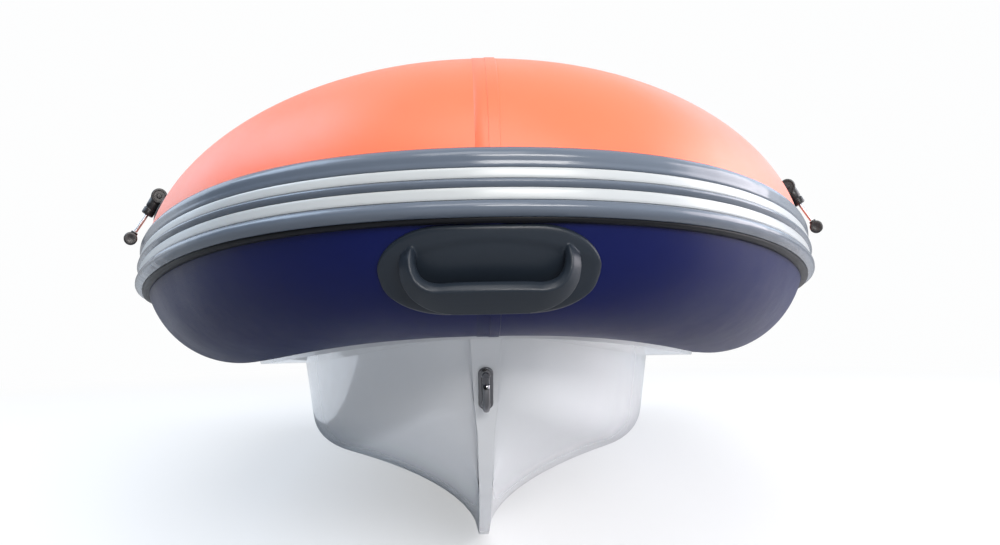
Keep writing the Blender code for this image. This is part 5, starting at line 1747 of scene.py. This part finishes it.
seat_box = open_box("seat_box_moulding", seat_outline(0.0, 0.016), seat_outline(WALL, 0.010),
                    SEAT_LOW, SEAT_TOP)
for x, aft, up, out, along, width, height in (
        (0.0, SEAT_FRONT, -0.060, -AFT, ACROSS, 0.42, 0.130),
        (0.0, SEAT_BACK, -0.060, AFT, ACROSS, 0.42, 0.130),
        (SEAT_HALF, SEAT_MID, -0.045, ACROSS, AFT, 0.27, 0.160),
        (-SEAT_HALF, SEAT_MID, -0.045, -ACROSS, AFT, 0.27, 0.160)):
    cut(seat_box, plate_solid("sunk", frame_matrix(place(x, aft, up), out, along), width,
                              height, SUNK_LEVELS, 0.022, "liner"))
dress(seat_box, "seat_box")

# %% Seat flange, hinge and lid
flange = slab("seat_box_flange", seat_outline(-0.020, 0.024), SEAT_LOW, SEAT_LOW + 0.005, 0.0016,
              "liner")
dress(cut(flange, prism("inside", seat_outline(0.004, 0.014), SEAT_LOW - 0.01, SEAT_LOW + 0.02,
                        "liner")))
spots = [(x, y) for y in (-0.190, 0.190) for x in (-0.24, -0.12, 0.0, 0.12, 0.24)]
spots += [(x, y) for x in (-0.270, 0.270) for y in (-0.09, 0.09)]
screws("seat_flange_screws", place(0.0, SEAT_MID, SEAT_LOW + 0.005), UP, spots,
       radius=0.0042, height=0.0014)
rim_seal("seat_box_seal", seat_outline(rim, 0.010), SEAT_TOP)
strip_hinge("seat_hinge", SEAT_BACK + 0.008, SEAT_TOP, 0.22, "seat_top")
seat_lid_low = SEAT_TOP + GAP
dress(slab("seat_lid_moulding", rectangle(SEAT_HALF + 0.006, SEAT_FRONT - 0.006,
                                          SEAT_BACK - 0.001, 0.018),
           seat_lid_low, seat_lid_low + LID_THICKNESS, 0.0045, "liner", 4), "seat_lid",
      body="seat_top")

# %% Seat catch
catch = place(0.0, SEAT_FRONT - GAP, SEAT_TOP - 0.030)
rounded_plate("seat_catch_plate", catch, -AFT, 0.040, 0.040, 0.0024, 0.006, "steel",
              "seat_latch")
rounded_plate("seat_catch_lever", catch + Vector((0, -0.0024, -0.003)), -AFT, 0.022, 0.032,
              0.0052, 0.006, "black")
bail = [catch + Vector((x, y, z)) for x, y, z in
        ((-0.0130, -0.0040, 0.0040), (-0.0130, -0.0092, 0.0400), (0.0130, -0.0092, 0.0400),
         (0.0130, -0.0040, 0.0040))]
dress(bent_wire("seat_catch_bail", rounded_route(bail, 0.005, 6), 0.0014, "steel", 12))
rounded_plate("seat_catch_keeper", place(0.0, SEAT_FRONT - 0.006, SEAT_TOP + 0.0073), -AFT,
              0.020, 0.010, 0.0018, 0.003, "steel", body="seat_top")
screws("seat_catch_screws", catch - AFT * 0.0024, -AFT, corner_spots(0.0155, 0.0150))
print("seat box done")

# %% [markdown]
# ## The cushion
# A cushion can't be drawn as a block: foam swells its cover until the seams stop it. Cloth
# physics does just that. A slightly small pad is filled with pressure for a few frames, each
# point may move only a little, and the result is kept. The sewn channels, the piping and the
# stitches come after that, because the small cubes of the remesh would wipe them out.

# %% Swelling by cloth physics
CUSHION_LOW = seat_lid_low + LID_THICKNESS + GAP
CUSHION_TALL, CUSHION_HALF = 0.052, 0.256
CUSHION_FRONT, CUSHION_BACK = SEAT_FRONT + 0.004, SEAT_BACK - 0.022
CHANNELS = (-0.086, 0.086)


def cushion_outline(inset, steps=7):
    """Rounded outline that lies so far inside the cushion's own."""
    return rectangle(CUSHION_HALF - inset, CUSHION_FRONT + inset, CUSHION_BACK - inset, 0.030,
                     steps)


def swell(target, voxel, frames, pressure, reach):
    """Fill a closed pad with pressure, hold back what moves too far, and keep the shape."""
    modify(target, "REMESH", mode="VOXEL", voxel_size=voxel)
    apply_modifiers(target)
    start = [v.co.copy() for v in target.data.vertices]
    cloth = modify(target, "CLOTH")
    cloth.settings.use_pressure = True
    cloth.settings.uniform_pressure_force = pressure
    cloth.settings.effector_weights.gravity = 0.0
    cloth.settings.quality = 4
    cloth.point_cache.frame_end = frames
    for number in range(1, frames + 1):
        bpy.context.scene.frame_set(number)
    apply_modifiers(target)
    bpy.context.scene.frame_set(1)
    for vertex, was in zip(target.data.vertices, start):
        move = vertex.co - was
        if move.length > reach:
            vertex.co = was + move * (reach / move.length)


def sew(target, depth, width):
    """Draw the cover in along the channels and keep the pad flat below."""
    low = place(-CUSHION_HALF, CUSHION_FRONT, CUSHION_LOW)
    high = place(CUSHION_HALF, CUSHION_BACK, CUSHION_LOW + CUSHION_TALL + 0.003)
    normals = [v.normal.copy() for v in target.data.vertices]
    for vertex, normal in zip(target.data.vertices, normals):
        if normal.z > -0.4:
            pull = sum(np.exp(-((vertex.co.x - x) / width) ** 2) for x in CHANNELS)
            vertex.co -= normal * (depth * float(pull))
        for i in range(3):
            vertex.co[i] = min(max(vertex.co[i], low[i]), high[i])

# %% Seat cushion
cushion = slab("seat_cushion_cover", cushion_outline(0.007), CUSHION_LOW + 0.0005,
               CUSHION_LOW + CUSHION_TALL - 0.008, 0.010, "cushion", 4)
swell(cushion, voxel=0.005, frames=20, pressure=4.0, reach=0.009)
sew(cushion, depth=0.0055, width=0.0060)
modify(cushion, "SUBSURF", levels=1, render_levels=1)
shade(apply_modifiers(cushion), 75.0)
dress(cushion, "seat_cushion", body="seat_top")
print("cushion", len(cushion.data.polygons), "faces")

# %% Lines on the cover
PIPING_TOP, PIPING_LOW, STITCH_INSIDE = CUSHION_LOW + 0.040, CUSHION_LOW + 0.009, 0.0125
cover = BVHTree.FromPolygons([v.co.copy() for v in cushion.data.vertices],
                             [tuple(p.vertices) for p in cushion.data.polygons])


def round_cushion(up, inside):
    """Loop of points on the cover's sides at a height, moved into the cover."""
    route = cushion_outline(0.002, 14)
    fine = []
    for a, b in zip(route, route[1:] + route[:1]):
        steps = max(1, ceil(hypot(b[0] - a[0], b[1] - a[1]) / 0.006))
        fine += [place(a[0] + (b[0] - a[0]) * k / steps, a[1] + (b[1] - a[1]) * k / steps, up)
                 for k in range(steps)]
    middle = place(0.0, (CUSHION_FRONT + CUSHION_BACK) / 2.0, up)
    loop = []
    for i, point in enumerate(fine):
        ahead = (fine[(i + 1) % len(fine)] - fine[i - 1]).normalized()
        inward = UP.cross(ahead).normalized()
        if inward.dot(middle - point) < 0:
            inward = -inward
        hit = cover.ray_cast(point - inward * 0.03, inward, 0.08)[0]
        loop.append((hit if hit else point) + inward * inside)
    for _ in range(2):
        loop = [(loop[i - 1] + loop[i] * 2 + loop[(i + 1) % len(loop)]) / 4
                for i in range(len(loop))]
    return loop


def on_top(points):
    """Points dropped onto the top of the cover."""
    made = []
    for point in points:
        hit = cover.ray_cast(Vector((point.x, point.y, place(0, 0, 0.3).z)), -UP)[0]
        made.append((hit if hit else point) + UP * GAP)
    return made

# %% Piping and stitches
for name, up in (("top", PIPING_TOP), ("bottom", PIPING_LOW)):
    dress(loop_cord("cushion_piping_" + name, round_cushion(up, 0.0004), 0.0030, "piping"),
          body="seat_top")
stitches("cushion_edge_stitches", on_top(round_cushion(PIPING_TOP, STITCH_INSIDE)), True,
         body="seat_top")
for number, x in enumerate(CHANNELS, 1):
    for side, side_name in ((-1, "left"), (1, "right")):
        line = [place(x + side * 0.0045, CUSHION_FRONT + 0.014 + 0.006 * i, 0.2)
                for i in range(52)]
        stitches("cushion_channel_stitches_%d_%s" % (number, side_name), on_top(line),
                 body="seat_top")
print("cushion sewn")
